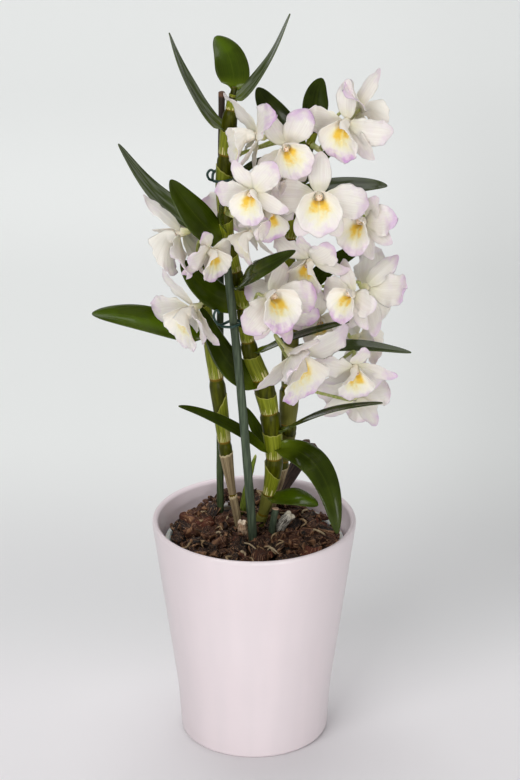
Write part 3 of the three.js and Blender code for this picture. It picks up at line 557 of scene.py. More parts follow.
# %% Chips
def chip_grid(size, bend, seed):
    """A sphere's grid squared off to the half sizes by a power of each coordinate, waved, then bent: z + bend x^2."""
    th, ph = np.meshgrid(angles(10), np.linspace(-1.3, 1.3, 6))
    p = np.stack([np.cos(ph) * np.cos(th), np.cos(ph) * np.sin(th), np.sin(ph)], -1)
    q = np.sign(p) * np.abs(p) ** (0.4 + 0.35 * draw(seed, 3))
    lump = 1 + 0.2 * np.sin(5 * p[..., :1] + 9 * draw(seed, 4)) * np.sin(4 * p[..., 1:2] + 9 * draw(seed, 5))
    lump = lump + 0.13 * np.sin(11 * p[..., :1] + 7 * p[..., 2:] + 20 * draw(seed, 6))
    q = q * lump
    q[..., 1] *= 1 - 0.35 * q[..., 0] * (draw(seed, 15) - 0.3)
    grain = q[..., 0] * 0.5 + 0.5, q[..., 1] * 0.5 + 0.5
    q = q * np.array(size)
    q[..., 2] += bend * (q[..., 0] ** 2) / max(size[0], 1)
    return q, grain


def turn(tilt):
    """A rotation matrix: about x, then y, then z, by the three angles of tilt."""
    (cx, cy, cz), (sx, sy, sz) = np.cos(tilt), np.sin(tilt)
    rx = np.array([[1, 0, 0], [0, cx, -sx], [0, sx, cx]])
    ry = np.array([[cy, 0, sy], [0, 1, 0], [-sy, 0, cy]])
    rz = np.array([[cz, -sz, 0], [sz, cz, 0], [0, 0, 1]])
    return rz @ ry @ rx


BED, RISE = 140.4, 7.5


def heap(x, y):
    """Height of the bed: its level, a ripple of 1.1 mm, and a rise of e^-((x + 15) / 28)^2 smooth((y - 22) / 26)."""
    rise = math.exp(-((x + 15) / 28) ** 2) * float(smooth((y - 22) / 26))
    return BED + 1.1 * math.cos(0.13 * x + 0.3) * math.sin(0.11 * y) + RISE * rise


# Places in the bark where something stands, with the room that chips leave round it.
STANDING = [(-7.5, 3.5, 3), (18, 12, 4), (24, 11, 3), (0, -4, 3), (-12, 17, 3), (12, 8, 2.5), (-8, 33, 2),
            (-22, 34, 2)]
HOLLOW = (-46, -22, 15)  # a low place at the front left and its radius
GOLDEN_ANGLE = 2.39996


def lay(piece, count, first, small, large, reach, lift):
    """count chips on a spiral of radius reach: half length small to large, half width 0.45 to 0.85 of it.

    Chips leave room round whatever stands in the bark, and move in from the hollow.
    """
    for i in range(first, first + count):
        share = (i - first + 0.5) / count
        a = GOLDEN_ANGLE * i + 0.5 * draw(i, 21)
        length = small + (large - small) * draw(i, 1) ** 1.6
        r = min(reach * math.sqrt(share), reach + 3 - length)
        x, y = r * math.cos(a), r * math.sin(a)
        if math.hypot(x - HOLLOW[0], y - HOLLOW[1]) < HOLLOW[2]:
            x, y = 0.88 * x, 0.88 * y
        if any(math.hypot(x - p, y - q) < room + 0.6 * length for p, q, room in STANDING):
            continue
        size = length * np.array([1, 0.45 + 0.4 * draw(i, 2), 0.3 + 0.3 * draw(i, 7)])
        tilt = np.array([1.3 * (draw(i, 8) - 0.5), 1.3 * (draw(i, 9) - 0.5), FULL_TURN * draw(i, 10)])
        grid, (u, v) = chip_grid(size, 0.5 * (draw(i, 12) - 0.35), i)
        middle = np.array([x, y, heap(x, y) + lift + 2.2 * (draw(i, 11) - 0.5)])
        piece.tube(grid @ turn(tilt).T + middle, u=u, v=v, seed=draw(i, 13))


bark = Piece()
bed = rounded([(0, 36), (41.9, 36), (54.7, 134.5), (52, 137.5), (30, 138.4), (0, 139.5)], 1.5)
turned(bark, bed, 64)
lay(bark, count=330, first=0, small=2.2, large=4.2, reach=55, lift=-0.6)
lay(bark, count=150, first=400, small=3.8, large=7.8, reach=53.5, lift=1.4)

# %% Roots and straws among the chips
def strand(piece, points, radius, seed):
    """A thin tube on a curve through points; its radius is scaled by sqrt(4 t (1 - t) + 0.08), held to 0.3..1."""
    t = np.linspace(0, 1, 30)
    arch = np.clip(np.sqrt(4 * t * (1 - t) + 0.08), 0.3, 1)
    piece.tube(tube_grid(catmull(points, t), radius * arch, 6), seed=seed, slot=1)


for i in range(26):
    a, r = FULL_TURN * draw(i, 61), 10 + 40 * draw(i, 62) ** 0.7
    heading, length = FULL_TURN * draw(i, 63), 5 + 11 * draw(i, 64) ** 2
    x, y = r * math.cos(a), r * math.sin(a)
    base = np.array([x, y, heap(x, y) + 3.4 + 1.6 * draw(i, 65)])
    step = length * np.array([math.cos(heading), math.sin(heading), 0])
    side = np.array([-step[1], step[0], 0]) * 0.6
    curl = [(-0.5, 0.2, -1.6), (-0.2, draw(i, 66) - 0.5, 0.4), (0.1, draw(i, 67) - 0.3, 1.4),
            (0.4, 0.5 - draw(i, 68), 0.3)]
    ends = [base + step * p + side * q + np.array([0, 0, h]) for p, q, h in curl]
    last = base + step * 0.6 - side * 0.3 - np.array([0, 0, 1.8])
    strand(bark, [*ends, last], 0.35 + 0.45 * draw(i, 69), draw(i, 70))

# %% Finishes of chips and roots
f = Finish("bark_chips", Roughness=0.7, Specular_IOR_Level=0.3)
u, v, seed = f.place()
layers = f.streaks(f.times(v, 9), f.times(u, 1.6), f.times(seed, 60), 1.3, 4, 0.6)
fibres = f.streaks(f.times(v, 30), f.times(u, 3), f.times(seed, 90), 1.1, 3, 0.6)
grain = f.cloud(420, 5, 0.7)
across, along = (f.math("ABSOLUTE", f.math("SUBTRACT", q, 0.5)) for q in (u, v))
f.base(f.coats(
    f.mix((seed, 0.1, 0.88), "140a06", "45271a"),
    ((seed, 0.88, 0.94), "5a2e20"),
    ((layers, 0.5, 0.72, 0, 0.5), "6d442e"),
    (f.ramp(f.math("MAXIMUM", across, along), 0.44, 0.54, 0, 0.6), "b0835f"),
    ((fibres, 0.6, 0.66, 0, 0.9), "c79d78"),
    ((grain, 0.34, 0.44, 0.7, 0), "0c0503")))
f.roughness(f.ramp(layers, 0.3, 0.6, 0.28, 0.85))
f.bump(f.math("ADD", layers, grain), 0.7, 0.0008)
f = Finish("dry_root", Roughness=0.7)
tone = f.mix(f.place()[2], "a98a5c", "ead9b2")
f.base(f.mix(f.cloud(700), tone, "5d3d24"))
bark.build("bark_bed", ["bark_chips", "dry_root"], ["bark"], flat=True)

# %% [markdown]
# ## Canes
# A cane is a row of joints. Each joint is thin just above its node, swells towards the next one, and its lower half
# is wrapped in the sheath of an old leaf, which ends in a slanting edge. The sheath is a separate, slightly larger
# shell here, because its edge casts the thin shadow that makes the joints read. Its foot dips into the cane, so the
# shell is closed without a seam.

# %% Stems in general
def by_height(path, z):
    """The share t at which a path passes height z, read off a fine table of the curve."""
    t = np.linspace(0, 1, 4001)
    return np.interp(z, catmull(path, t)[:, 2], t)


def stem_point(path, t, a, scale, extra=0.0):
    """centre(t) + (scale radius(t) + extra) (side cos a + up sin a); side is the x axis, squared to the curve."""
    q = catmull(path, t)
    tangent = unit((catmull(path, np.minimum(t + NUDGE, 1)) - catmull(path, np.maximum(t - NUDGE, 0)))[..., :3])
    side = unit(np.array([1.0, 0, 0]) - tangent * tangent[..., :1])
    ring = side * np.cos(a)[..., None] + np.cross(tangent, side) * np.sin(a)[..., None]
    return q[..., :3] + ring * (q[..., 3] * scale + extra)[..., None]


def joint_swell(f):
    """0.9 at a node, 1.04 at mid joint, 1.1 at 0.85 of it, back to 0.9 at the next node; a thin ridge on the node."""
    rise = 0.9 + 0.14 * smooth(f / 0.5) + 0.06 * smooth((f - 0.5) / 0.35) - 0.2 * smooth((f - 0.86) / 0.14)
    return rise + 0.06 * hump(f - 0.99, 0.02) + 0.06 * hump(f + 0.01, 0.02)


def joint_numbers(spec, t):
    """Joint number plus share along that joint, for shares t of the path."""
    marks = np.concatenate([[-0.06], by_height(spec["path"], np.array(spec["nodes"])), [1.0]])
    return np.interp(t, marks, np.arange(len(marks)))


# %% Canes with their sheaths
def add_core(piece, spec, seed):
    """The bare cane: its path's radius times joint_swell, with seven flutes 1 + 0.012 sin(7 a) that turn by joint."""
    t, a = down_and_round(300, 26)
    joints = joint_numbers(spec, t)
    flute = 1 + 0.012 * np.sin(7 * a + 3 * joints)
    piece.tube(stem_point(spec["path"], t, a, joint_swell(joints % 1) * flute), u=joints, v=a / (2 * np.pi), seed=seed)


def add_sheath(piece, spec, k, cover, heading, slant, slot, seed):
    """Round joint k from its node to cover (1 - slant ((1 - cos(a - heading)) / 2)^0.8) of the joint."""
    marks = np.concatenate([[0.02], by_height(spec["path"], np.array(spec["nodes"])), [0.985]])
    low, span = marks[k + 1], marks[k + 2] - marks[k + 1]
    s = np.concatenate([[0.0, 0.0], np.linspace(0.01, 1, 26), [1.0, 1.0]])
    gap = np.concatenate([[-1.2, 0.1], np.full(25, 0.28), [0.36], [0.1, -1.2]])
    s, a = np.meshgrid(s, angles(44), indexing="ij")
    away = 0.5 - 0.5 * np.cos(a - heading)
    top = cover * (1 - slant * away ** 0.8) + 0.008 * np.sin(9 * a + 20 * seed)
    f = s * top
    gap = gap[:, None] + 0.07 * np.sin(17 * a + 9 * seed) * (s < 0.3) + 0.05 * np.sin(31 * a)
    swell = np.maximum(joint_swell(np.clip(f, 0.02, 0.9)), 0.93 + 0.1 * s)
    grid = stem_point(spec["path"], low + f * span, a, swell, gap)
    piece.tube(grid, u=s, v=a / (2 * np.pi), seed=seed, slot=slot)


# %% Finishes of cane and sheath
f = Finish("cane_skin", Roughness=0.35, Specular_IOR_Level=0.12)
joint = f.math("FRACT", f.place()[0])
streak = f.cloud(420, 3, z=0.15)
line = f.times((joint, 0.965, 0.99), (joint, 0.985, 1.0, 1, 0.4))
f.base(f.coats(
    f.mix((joint, 0.3, 0.9), "262900", "363901"),
    ((streak, 0.35, 0.7), "4d5005"),
    (line, "6f5a10")))
f.bump(f.cloud(900, 3, z=0.12), 0.12)

f = Finish("leaf_sheath", Roughness=0.5, Specular_IOR_Level=0.2)
s, v, seed = f.place()
teeth = f.streaks(f.times(v, 40), seed, 0, 1.7, 0)
ribs = f.streaks(f.times(v, 60), seed, f.times(s, 0.6), 1.3, 2)
dull = f.ramp(seed, 0.02, 0.05, 1, 0)
past = f.math("SUBTRACT", s, f.ramp(teeth, 0.52, 0.7, 0.1, 0.36))
cream = f.times((past, -0.06, 0.02, 1, 0), (teeth, 0.53, 0.57, 0, 0.85), (dull, 0, 1, 1, 0))
f.base(f.coats(
    f.mix((ribs, 0.38, 0.66), "5f680c", "8c9226"),
    ((s, 0.25, 0.9, 0, 0.4), "7a8218"),
    ((s, 0.955, 0.985), "9c9c48"),
    (dull, f.mix(ribs, "4c5016", "7a7636")),
    (cream, "e2d69a"),
    ((s, 0.012, 0.04, 1, 0), "8f6a1c")))
f.bump(ribs, 0.35, 0.0004)

f = Finish("papery_sheath", Roughness=0.75)
s, v, seed = f.place()
ribs = f.streaks(f.times(v, 48), seed, f.times(s, 0.7), 1.3, 3)
tone = f.mix((ribs, 0.35, 0.7), "6b5a3e", "a99672")
f.base(f.mix((s, 0.94, 0.98), tone, "bfae88"))
f.bump(ribs, 0.4, 0.0005)

# %% Every cane
FRESH, PAPERY, DULL = 0, 1, 2
# Sheaths, by cane and joint: share of the joint covered, heading of the high side, slant, and kind.
SHEATHS = {
    ("cane_main", -1): (0.97, 0, 0.02, DULL), ("cane_main", 0): (0.97, 0, 0.02, DULL),
    ("cane_main", 1): (0.88, 2.9, 0.46, FRESH), ("cane_main", 2): (0.54, 3.6, 0.06, FRESH),
    ("cane_main", 3): (0.6, 2.9, 0.25, FRESH), ("cane_main", 4): (0.66, 4.2, 0.08, FRESH),
    ("cane_left", -1): (0.98, 0, 0.02, PAPERY), ("cane_left", 0): (0.79, 0, 0.05, PAPERY),
    ("cane_left", 1): (0.74, 6.1, 0.5, FRESH), ("cane_left", 2): (0.94, 0.6, 0.24, FRESH),
    ("cane_right", -1): (0.98, 0, 0.02, PAPERY), ("cane_right", 0): (0.9, 1, 0.1, PAPERY),
}
for number, (name, spec) in enumerate(CANES.items()):
    piece = Piece()
    add_core(piece, spec, number)
    for k in range(-1, len(spec["nodes"])):
        usual = (0.5 + 0.3 * draw(k, number + 50), FULL_TURN * draw(k, number + 60), 0.24, FRESH)
        cover, heading, slant, kind = SHEATHS.get((name, k), usual)
        old = kind == DULL or name == "cane_right" and 0 < k < 5
        seed = 0.0 if old else 0.06 + 0.9 * draw(k, number)
        add_sheath(piece, spec, k, max(cover, 0.9 * old), heading, slant, 1 + (kind == PAPERY), seed)
    piece.build(name + "_grown", ["cane_skin", "leaf_sheath", "papery_sheath"], [name])

# %% [markdown]
# ## Leaves
# Each leaf is a strap on a curved midline. It starts folded round its cane, opens flat, and ends in a blunt tip.
# The midrib is a groove above and a ridge below; fine veins run beside it. The skin is waxy, so the colour is dark and
# the light shows as broad pale sheens. On a few leaves light is also painted into the colour: a brighter green, or a
# grey painted sheen.

# %% Blades: a quadratic midline with a turned face
def blade(base, bend, tip, face, turn, u):
    """Midline (1-u)^2 base + 2u(1-u) bend + u^2 tip, with the face turned by turn u about it, and its side."""
    base, bend, tip, face = (np.asarray(q, float) for q in (base, bend, tip, face))
    w = u[..., None]
    middle = (1 - w) ** 2 * base + 2 * w * (1 - w) * bend + w * w * tip
    tangent = unit((1 - w) * (bend - base) + w * (tip - bend))
    angle = np.radians(turn) * w
    normal = face * np.cos(angle) + np.cross(tangent, face) * np.sin(angle)
    normal = normal + tangent * (tangent @ face)[..., None] * (1 - np.cos(angle))
    normal = unit(normal - tangent * (normal * tangent).sum(-1, keepdims=True))
    return middle, normal, np.cross(tangent, normal)


def grid_normal(grid, like):
    """Cross product of the grid's two directions, turned to agree with like."""
    n = unit(np.cross(np.gradient(grid, axis=1), np.gradient(grid, axis=0)))
    return n * np.sign((n * like).sum(-1, keepdims=True) + 1e-9)


def rows_and_columns(m, n):
    """u from 0 to 1, closer together near 1; v from -1 to 1, closer together near both edges."""
    s, c = np.linspace(0, 1, m), np.linspace(-1, 1, n)
    u = (1 - 0.7) * s + 0.7 * np.sin(s * np.pi / 2)
    v = 0.65 * c + 0.35 * np.sin(c * np.pi / 2)
    return np.meshgrid(u, v, indexing="ij")


def leave(path, height, towards):
    """Where a path passes height: its point and radius, the way along it, and the way out, square to that."""
    t = by_height(path, height)
    q = catmull(path, np.array(t))
    along = unit(catmull(path, np.array(t + NUDGE))[:3] - catmull(path, np.array(t - NUDGE))[:3])
    out = np.array(towards) - q[:3]
    return q, along, unit(out - along * (out @ along))


def leaf_grid(row, seed):
    """Half width w/2 (0.16 + 0.86 sin(pi (0.06 + 0.93 u^0.85))^0.72) sqrt(1 - u^26), less 0.45 where it clasps.

    It is lifted by (0.22 + 1.1 clasp) (sqrt(v^2 + 0.012) - 0.11) of that, then waved, and its edges turned down.
    """
    name, height, bend, tip, width, face, *turn = row
    q, _, out = leave(CANES[name]["path"], height, bend)
    base = q[:3] + out * q[3] * 0.55
    u, v = rows_and_columns(56, 19)
    middle, normal, side = blade(base, bend, tip, face, *(turn or (0,)), u)
    outline = 0.16 + 0.86 * np.sin(np.pi * np.minimum(0.985, 0.06 + 0.93 * u ** 0.85)) ** 0.72
    clasp = 1 - smooth(u / 0.13)
    half = width / 2 * outline * np.sqrt(np.clip(1 - u ** 26, 0, 1)) + 0.02
    half = half * (1 - 0.45 * clasp)
    bow = np.sqrt(v * v + 0.012) - 0.11
    lift = (0.22 + 1.1 * clasp) * bow * half
    lift = lift + 0.05 * half * v * v * np.sin(9 * u + 2.6 * v + 40 * seed) - 0.1 * half * v ** 4 * (1 - clasp)
    wobble = 0.025 * width * np.sin(5 * u + 30 * seed) * np.sin(np.pi * u)
    grid = middle + side * (v * half + wobble)[..., None] + normal * lift[..., None]
    return grid, grid_normal(grid, normal), u, v


# %% The finish of a leaf: near a seed of 0.92 painted light shows as a brighter green, and above 0.96 a painted grey sheen
f = Finish("leaf_skin", Roughness=0.3, Specular_IOR_Level=0.1, Coat_Weight=0.28, Coat_Roughness=0.1)
u, v, seed = f.place()
away = f.math("ABSOLUTE", v)
mottle = f.cloud(60, 3)
lines = f.streaks(f.times(v, 26), seed, f.times(u, 0.8), 1.2, 2)
# Painted light: a brighter green patch on the leaves that face the light, kept off the edges.
painted_light = f.times((seed, 0.88, 0.9, 0, 0.45), (seed, 0.94, 0.96, 1, 0), (away, 0.1, 0.85, 1, 0.15),
                 (mottle, 0.35, 0.62, 0.3, 1))
# Painted sheen: grey streaks along the leaf, a painted reflection of the bright surroundings on the leaves that catch
# it.
painted_sheen = f.ramp(f.streaks(f.times(v, 2.2), f.times(u, 2.4), 0, 1.4, 2), 0.4, 0.6, 0.1, 0.6)
upper = f.coats(
    f.mix((seed, 0.2, 0.9), "1c2502", "2a3603"),
    ((mottle, 0.35, 0.7), "354308"),
    ((lines, 0.4, 0.7, 0, 0.38), "414e08"),
    ((u, 0.02, 0.3, 0.75, 0), "5c6b12"),
    ((away, 0.0, 0.05, 0.6, 0), "3f4b10"),
    ((away, 0.93, 1.0, 0, 0.5), "59661f"),
    (painted_light, "547000"),
    (f.times(painted_sheen, (seed, 0.94, 0.96)), "7a8070"))
under = f.mix((lines, 0.35, 0.7), "3f4d20", "5a6838")
under = f.mix((away, 0.0, 0.08, 0.8, 0), under, "6f7c40")
f.base(f.mix(f.side(), under, upper))
f.roughness(f.ramp(f.side(), 0.3, 0.7, 0.45, 0.24))
f.bump(lines, 0.16, 0.0003)

# %% Every leaf
# Each leaf's tone: painted light, a brighter green where light falls full on the leaf; painted sheen, a grey film
# standing in for reflected light; else plain.
PAINTED_LIGHT, PAINTED_SHEEN = 0.92, 0.98
TONES = {2: PAINTED_LIGHT, 14: PAINTED_LIGHT, 22: PAINTED_LIGHT, 1: PAINTED_SHEEN, 3: PAINTED_SHEEN, 8: PAINTED_SHEEN}
for number, row in enumerate(LEAVES, 1):
    piece = Piece()
    seed = draw(number, 5)
    grid, normal, u, v = leaf_grid(row, seed)
    thick = 0.75 * (1 - 0.35 * np.abs(v)) + 0.5 * hump(v, 0.12) * (1 - 0.6 * u)
    piece.sheet(grid, normal, thick, u, v, TONES.get(number, 0.85 * seed))
    piece.build(f"blade_{number:02d}", ["leaf_skin"], [f"leaf_{number:02d}"])

# %% [markdown]
# ## Blooms
# A dendrobium bloom has three sepals behind, two broader petals, and a lip: a tube round the column that opens to a
# round, frilled dish. Each bloom is worked out in its own frame, looking along z with its top sepal along y, and
# then set down on the plant. A whole spray becomes one piece: blooms, their stalks, and the short stem they share.

# %% A bloom's frame
THROAT = 9  # how far the hub of a bloom of size 1 lies behind the middle of its mouth, in mm


def bloom_axes(at, az, el, roll, size):
    """Axes and hub: z = (sin az cos el, -cos az cos el, sin el), y is up, squared to z and leant by roll."""
    az, el, roll = np.radians((az, el, roll))
    z = np.array([np.sin(az) * np.cos(el), -np.cos(az) * np.cos(el), np.sin(el)])
    y = unit(np.array([0, 0, 1.0]) - z * z[2])
    y = y * np.cos(roll) - np.cross(z, y) * np.sin(roll)
    return np.stack([np.cross(y, z), y, z]) * size, np.array(at) - THROAT * size * z


# %% Tepals
PETAL = dict(length=30, width=20.5, root=1.9, rise=4, wave=0.8, frill=1.0, crease=0.35, sway=1.0,
             outline=(0.04, 0.98, 0.025, 0.895, 1.1, 0.75, 16))
SEPAL = dict(length=28, width=13.5, root=0.5, rise=1, wave=0.3, frill=0.35, crease=0.15, sway=0.6,
             outline=(0.06, 0.96, 0.03, 0.92, 0.85, 0.7, 14))
# The turn from the top in degrees and the forward lean in mm of the top sepal, two petals and two lower sepals.
USUAL = [(0, -2), (84, -3), (-84, -3), (143, -4), (-143, -4)]


def tepal_grid(kind, turn_to, forward, seed, i):
    """A blade from the hub, at turn_to degrees from the top, whose tip leans forward by that many mm.

    Its half width is w/2 (low + gain sin(pi (lead + span u^bias))^power) (1 - u^close)^0.5, from the outline's seven
    numbers. Sines of u and v ruffle the edge, the tip curls back by 0.6 to 1.6 mm, and the midline sways a little.
    """
    a = np.radians(turn_to + (draw(seed, i) - 0.5) * 6)
    forward = forward + (draw(seed, i + 10) - 0.5) * 3
    length = kind["length"] * (0.95 + 0.1 * draw(seed, i + 20))
    at = lambda r, z: (np.sin(a) * r, np.cos(a) * r, z)
    u, v = rows_and_columns(30, 17)
    bend = at(length * 0.55, kind["root"] + kind["rise"] + forward * 0.3)
    tip = at(length, kind["root"] + forward)
    middle, normal, side = blade(at(2.1, kind["root"]), bend, tip, (0, 0, 1), 0, u)
    low, gain, lead, span, bias, power, close = kind["outline"]
    outline = low + gain * np.sin(np.pi * (lead + span * u ** bias)) ** power
    outline = outline * np.clip(1 - u ** close, 0, 1) ** 0.5
    phase = 40 * draw(seed, i + 30)
    ragged = np.sin(13 * u + phase * np.sign(v)) + 0.6 * np.sin(29 * u + 2 * phase * np.sign(v))
    ragged = 1 + kind["frill"] * 0.05 * ragged * np.abs(v) ** 4
    half = kind["width"] / 2 * outline * ragged + 0.02
    lift = 0.12 * (np.sqrt(v * v + 0.01) - 0.1) * half + kind["wave"] * v * v * np.sin(7.5 * u + 2.6 * v)
    ruffle = np.sin(15 * u + phase + 1.3 * v) + 0.5 * np.sin(27 * u + 2 * phase - 2 * v) + 0.3 * np.sin(47 * u + phase)
    lift = lift + kind["frill"] * np.abs(v) ** 3 * ruffle * smooth(u / 0.4)
    lift = lift - 0.25 * hump(v, 0.1) * (1 - u) - (0.6 + draw(seed, i + 40)) * smooth((u - 0.75) / 0.25) ** 2
    lift = lift + 0.35 * np.sin(11 * v + phase) * np.sin(np.pi * u) ** 2 * kind["crease"]
    sway = 0.5 * np.sin(4 * u + phase) * np.sin(np.pi * u) * kind["sway"]
    grid = middle + side * (v * half + sway)[..., None] + normal * lift[..., None]
    return grid, grid_normal(grid, normal), u, v


# %% The lip
TUBE_END = 0.36  # the share of the lip's length that is its tube
LIP_SPAN = 152  # degrees that the lip reaches round to either side
DISH = 13.6


def lip_grid(seed):
    """Round the throat a = 152 v degrees: a tube up to u = 0.36, then a dish 13.6 mm in radius that drops by 8 mm.

    Height is 2.4 + 6.1 tube + 8 dish - 2.2 dish^2 cos a, with frills of 6, 14 and 37 waves growing as dish^2.5.
    """
    u, v = np.meshgrid(np.linspace(0, 1, 36), np.linspace(-1, 1, 85), indexing="ij")
    tube, dish = np.minimum(1, u / TUBE_END), np.maximum(0, (u - TUBE_END) / (1 - TUBE_END))
    a = np.radians(LIP_SPAN * v) * (1 + 0.1 * (1 - dish) * tube)
    root = 3.5 - 1.6 * np.maximum(0, 1 - 2 * np.abs(v))
    near = root + (4.4 - root) * tube
    phase = 20 * draw(seed, 90)
    radius = near + (DISH - near) * dish + dish ** 3 * (0.35 * np.sin(8 * a + phase) + 0.12 * np.sin(33 * a))
    radius = radius + 0.8 * hump(a, 0.3) * dish ** 3
    z = 2.4 + 1.8 * v * v * (1 - tube) + 6.1 * tube + 8 * dish - 2.2 * dish ** 2 * np.cos(a)
    z = z - 1.6 * dish ** 6 * (0.6 + 0.4 * np.cos(a))
    frill = 0.6 * np.sin(6 * a + phase) + 0.35 * np.sin(14 * a + 2 * phase) + 0.14 * np.sin(37 * a)
    z = z + dish ** 2.5 * frill - 0.5 * hump(a, 0.09) * smooth(u / 0.3) * (1 - dish)
    z = z + 0.12 * np.sin(14 * a) * smooth(dish / 0.4) * (1 - dish)
    grid = np.stack([-radius * np.sin(a), -radius * np.cos(a) - 8 * dish, z], -1)
    normal = unit(np.cross(np.gradient(grid, axis=1), np.gradient(grid, axis=0)))
    inward = np.stack([np.sin(a), np.cos(a), 0.5 + 0 * a], -1)
    return grid, normal * np.sign((normal * inward).sum(-1, keepdims=True).mean()), u, v


# %% The column, whose cap shows at the top of the mouth
def column_grid():
    """A rod from the chin at the back to the cap: radius 1.4, 2.8 at the root, 1.5 at the tip, then a domed cap."""
    s = np.linspace(0, 1, 26)
    z = -4.6 + 13.4 * s
    radius = np.interp(z, [-4.6, -4, 1, 5, 7.2, 8.6], [0.7, 1.4, 2.8, 2.0, 1.7, 1.5])
    radius = radius + 0.2 * hump(z - 7.6, 0.9)
    radius = radius * np.sqrt(np.clip((8.95 - z) / 1.1, 0.02, 1)) * np.sqrt(np.clip((z + 4.75) / 0.9, 0.1, 1))
    y = 0.5 * np.sin(np.pi * s) - 0.9 * (1 - s) ** 2
    return tube_grid(np.stack([0 * s, y, z], -1), radius, 18)


# %% A spray: blooms, stalks, and the stem that they share
# How far lilac shows at the tips, by bloom: top sepal, the two petals, the two lower sepals. Others are drawn.
LILAC = {1: (0.2, 0.95, 0.3, 0.5, 0.2), 2: (0.25, 0.9, 0.5, 0.7, 0.3), 3: (0.1, 0.35, 0.5, 0.25, 0.3),
         4: (0.3, 1, 0.8, 0.5, 0.3), 5: (0.3, 0.5, 0.3, 0.2, 0.2), 6: (0.35, 0.75, 0.3, 0.4, 0.3),
         7: (0.2, 0.7, 0.3, 0.3, 0.3), 14: (0.5, 0.9, 0.7, 0.6, 0.7), 13: (0.3, 1, 0.6, 0.8, 0.4),
         12: (0.4, 0.9, 0.3, 0.5, 0.4), 21: (0.3, 0.6, 0.5, 0.8, 0.5)}


def add_bloom(piece, bloom, number):
    """Five tepals, the lip and the column, set down by the bloom's axes; returns where its stalk has to pass."""
    at, az, el, roll, size, poses = bloom
    axes, origin = bloom_axes(at, az, el, roll, size)
    put = lambda grid: grid @ axes + origin
    tips = LILAC.get(number, 0.2 + 0.6 * draw(number, np.arange(5) + 60))
    for i, (turn_to, forward) in enumerate(poses or USUAL):
        grid, normal, u, v = tepal_grid(PETAL if i in (1, 2) else SEPAL, turn_to, forward, number, i)
        thick = 0.5 * (1 - 0.5 * np.abs(v)) * (1 - 0.4 * u)
        piece.sheet(put(grid), normal @ axes / size, thick, u, v, tips[i])
    grid, normal, u, v = lip_grid(number)
    piece.sheet(put(grid), normal @ axes / size, 0.42, u, v, 0.25 + 0.7 * draw(number, 70), slot=1)
    piece.tube(put(column_grid()), seed=draw(number, 71), slot=2)
    return put(np.array([[0, 0.2, -12.0], [0, 0, -6.0], [0, 0, -2.5]]))


def add_spray(name, first):
    """The stem runs 9 mm out from the cane; stalk k leaves it at 7.6 - 0.9 k, stepped 0.5 mm apart along the cane."""
    cane, height, blooms = SPRAYS[name]
    q, along, out = leave(CANES[cane]["path"], height, np.mean([bloom[0] for bloom in blooms], axis=0))
    root = q[:3] + out * q[3] * 0.8
    piece = Piece()
    s = np.linspace(0, 1, 14)
    stem = root + out * (s * 9.4 - 0.8)[:, None]
    girth = 1.9 - 0.25 * s + 0.3 * hump(s - 0.12, 0.06) + 0.25 * hump(s - 0.6, 0.05)
    piece.tube(tube_grid(stem, girth * np.sqrt(np.clip((1.04 - s) / 0.1, 0.05, 1)), 16), seed=0.1, slot=3)
    for k, bloom in enumerate(blooms):
        back = add_bloom(piece, bloom, first + k)
        start = root + out * (7.6 - 0.9 * k) + along * 0.5 * (k - (len(blooms) - 1) / 2)
        s = np.linspace(0, 1, 24)
        run = catmull([start, *back], s)
        girth = 1.0 + 0.15 * s + 0.5 * smooth((s - 0.72) / 0.25)
        piece.tube(tube_grid(run, girth, 12), seed=draw(first + k, 80), slot=3)
    piece.build(name + "_blooms", ["tepal", "lip", "column", "flower_stalk"], [name])


# %% Finishes of the bloom
skin = dict(Subsurface_Weight=0.45, Subsurface_Radius=(1, 0.85, 0.8), Subsurface_Scale=0.002)
f = Finish("tepal", Roughness=0.5, Specular_IOR_Level=0.3, Sheen_Weight=0.15, **skin)
u, v, tips = f.place()
away = f.math("ABSOLUTE", v)
veins = f.streaks(f.times(v, 15), tips, f.times(u, 0.8), 1.2, 2)
patchy = f.cloud(130, 2)
reach = f.math("ADD", u, f.ramp(away, 0.2, 1.0, 0, 0.12))
reach = f.math("ADD", reach, f.ramp(patchy, 0.3, 0.7, -0.13, 0.1))
lilac = f.times((reach, 0.6, 1.08), tips, (veins, 0.35, 0.65, 0.7, 1))
f.base(f.coats(
    f.mix((u, 0.05, 0.45), "ece8cc", "f7f0e6"),
    ((veins, 0.35, 0.65, 0.26, 0), "d8c7bb"),
    ((patchy, 0.45, 0.75, 0, 0.25), "ead9e6"),
    (lilac, "c98fd1")))
f.bump(veins, 0.25, 0.0003)

f = Finish("lip", Roughness=0.55, Specular_IOR_Level=0.25, Sheen_Weight=0.2, **skin)
u, v, tips = f.place()
away = f.math("ABSOLUTE", v)
veins = f.streaks(f.times(v, 26), tips, f.times(u, 1.2), 1.2, 2)
patchy = f.cloud(260, 3)
broad = f.cloud(75, 1)
edge = f.math("ADD", u, f.ramp(patchy, 0.3, 0.7, -0.07, 0.07))
rim = f.times((edge, 0.7, 1.02), (tips, 0, 1, 0.25, 1), (away, 0.15, 0.6, 1, 0.06), (broad, 0.38, 0.6, 0.35, 1))
halo = f.times((edge, 0.42, 0.86, 0.8, 0), (away, 0.2, 0.75, 1, 0))
gold = f.times((edge, 0.4, 0.62, 1, 0), (away, 0.3, 0.52, 1, 0), (away, 0.0, 0.12, 0.45, 1))
white = f.coats("f8f2e6", ((veins, 0.35, 0.65, 0.12, 0), "dccfc2"), (rim, "cf9bd6"))
inside = f.coats(white, (halo, "f5e9a2"), (gold, "f1c040"))
f.base(f.mix(f.ramp(f.side(), 0.2, 0.8), white, inside))
f.bump(f.math("ADD", veins, patchy), 0.25, 0.0003)

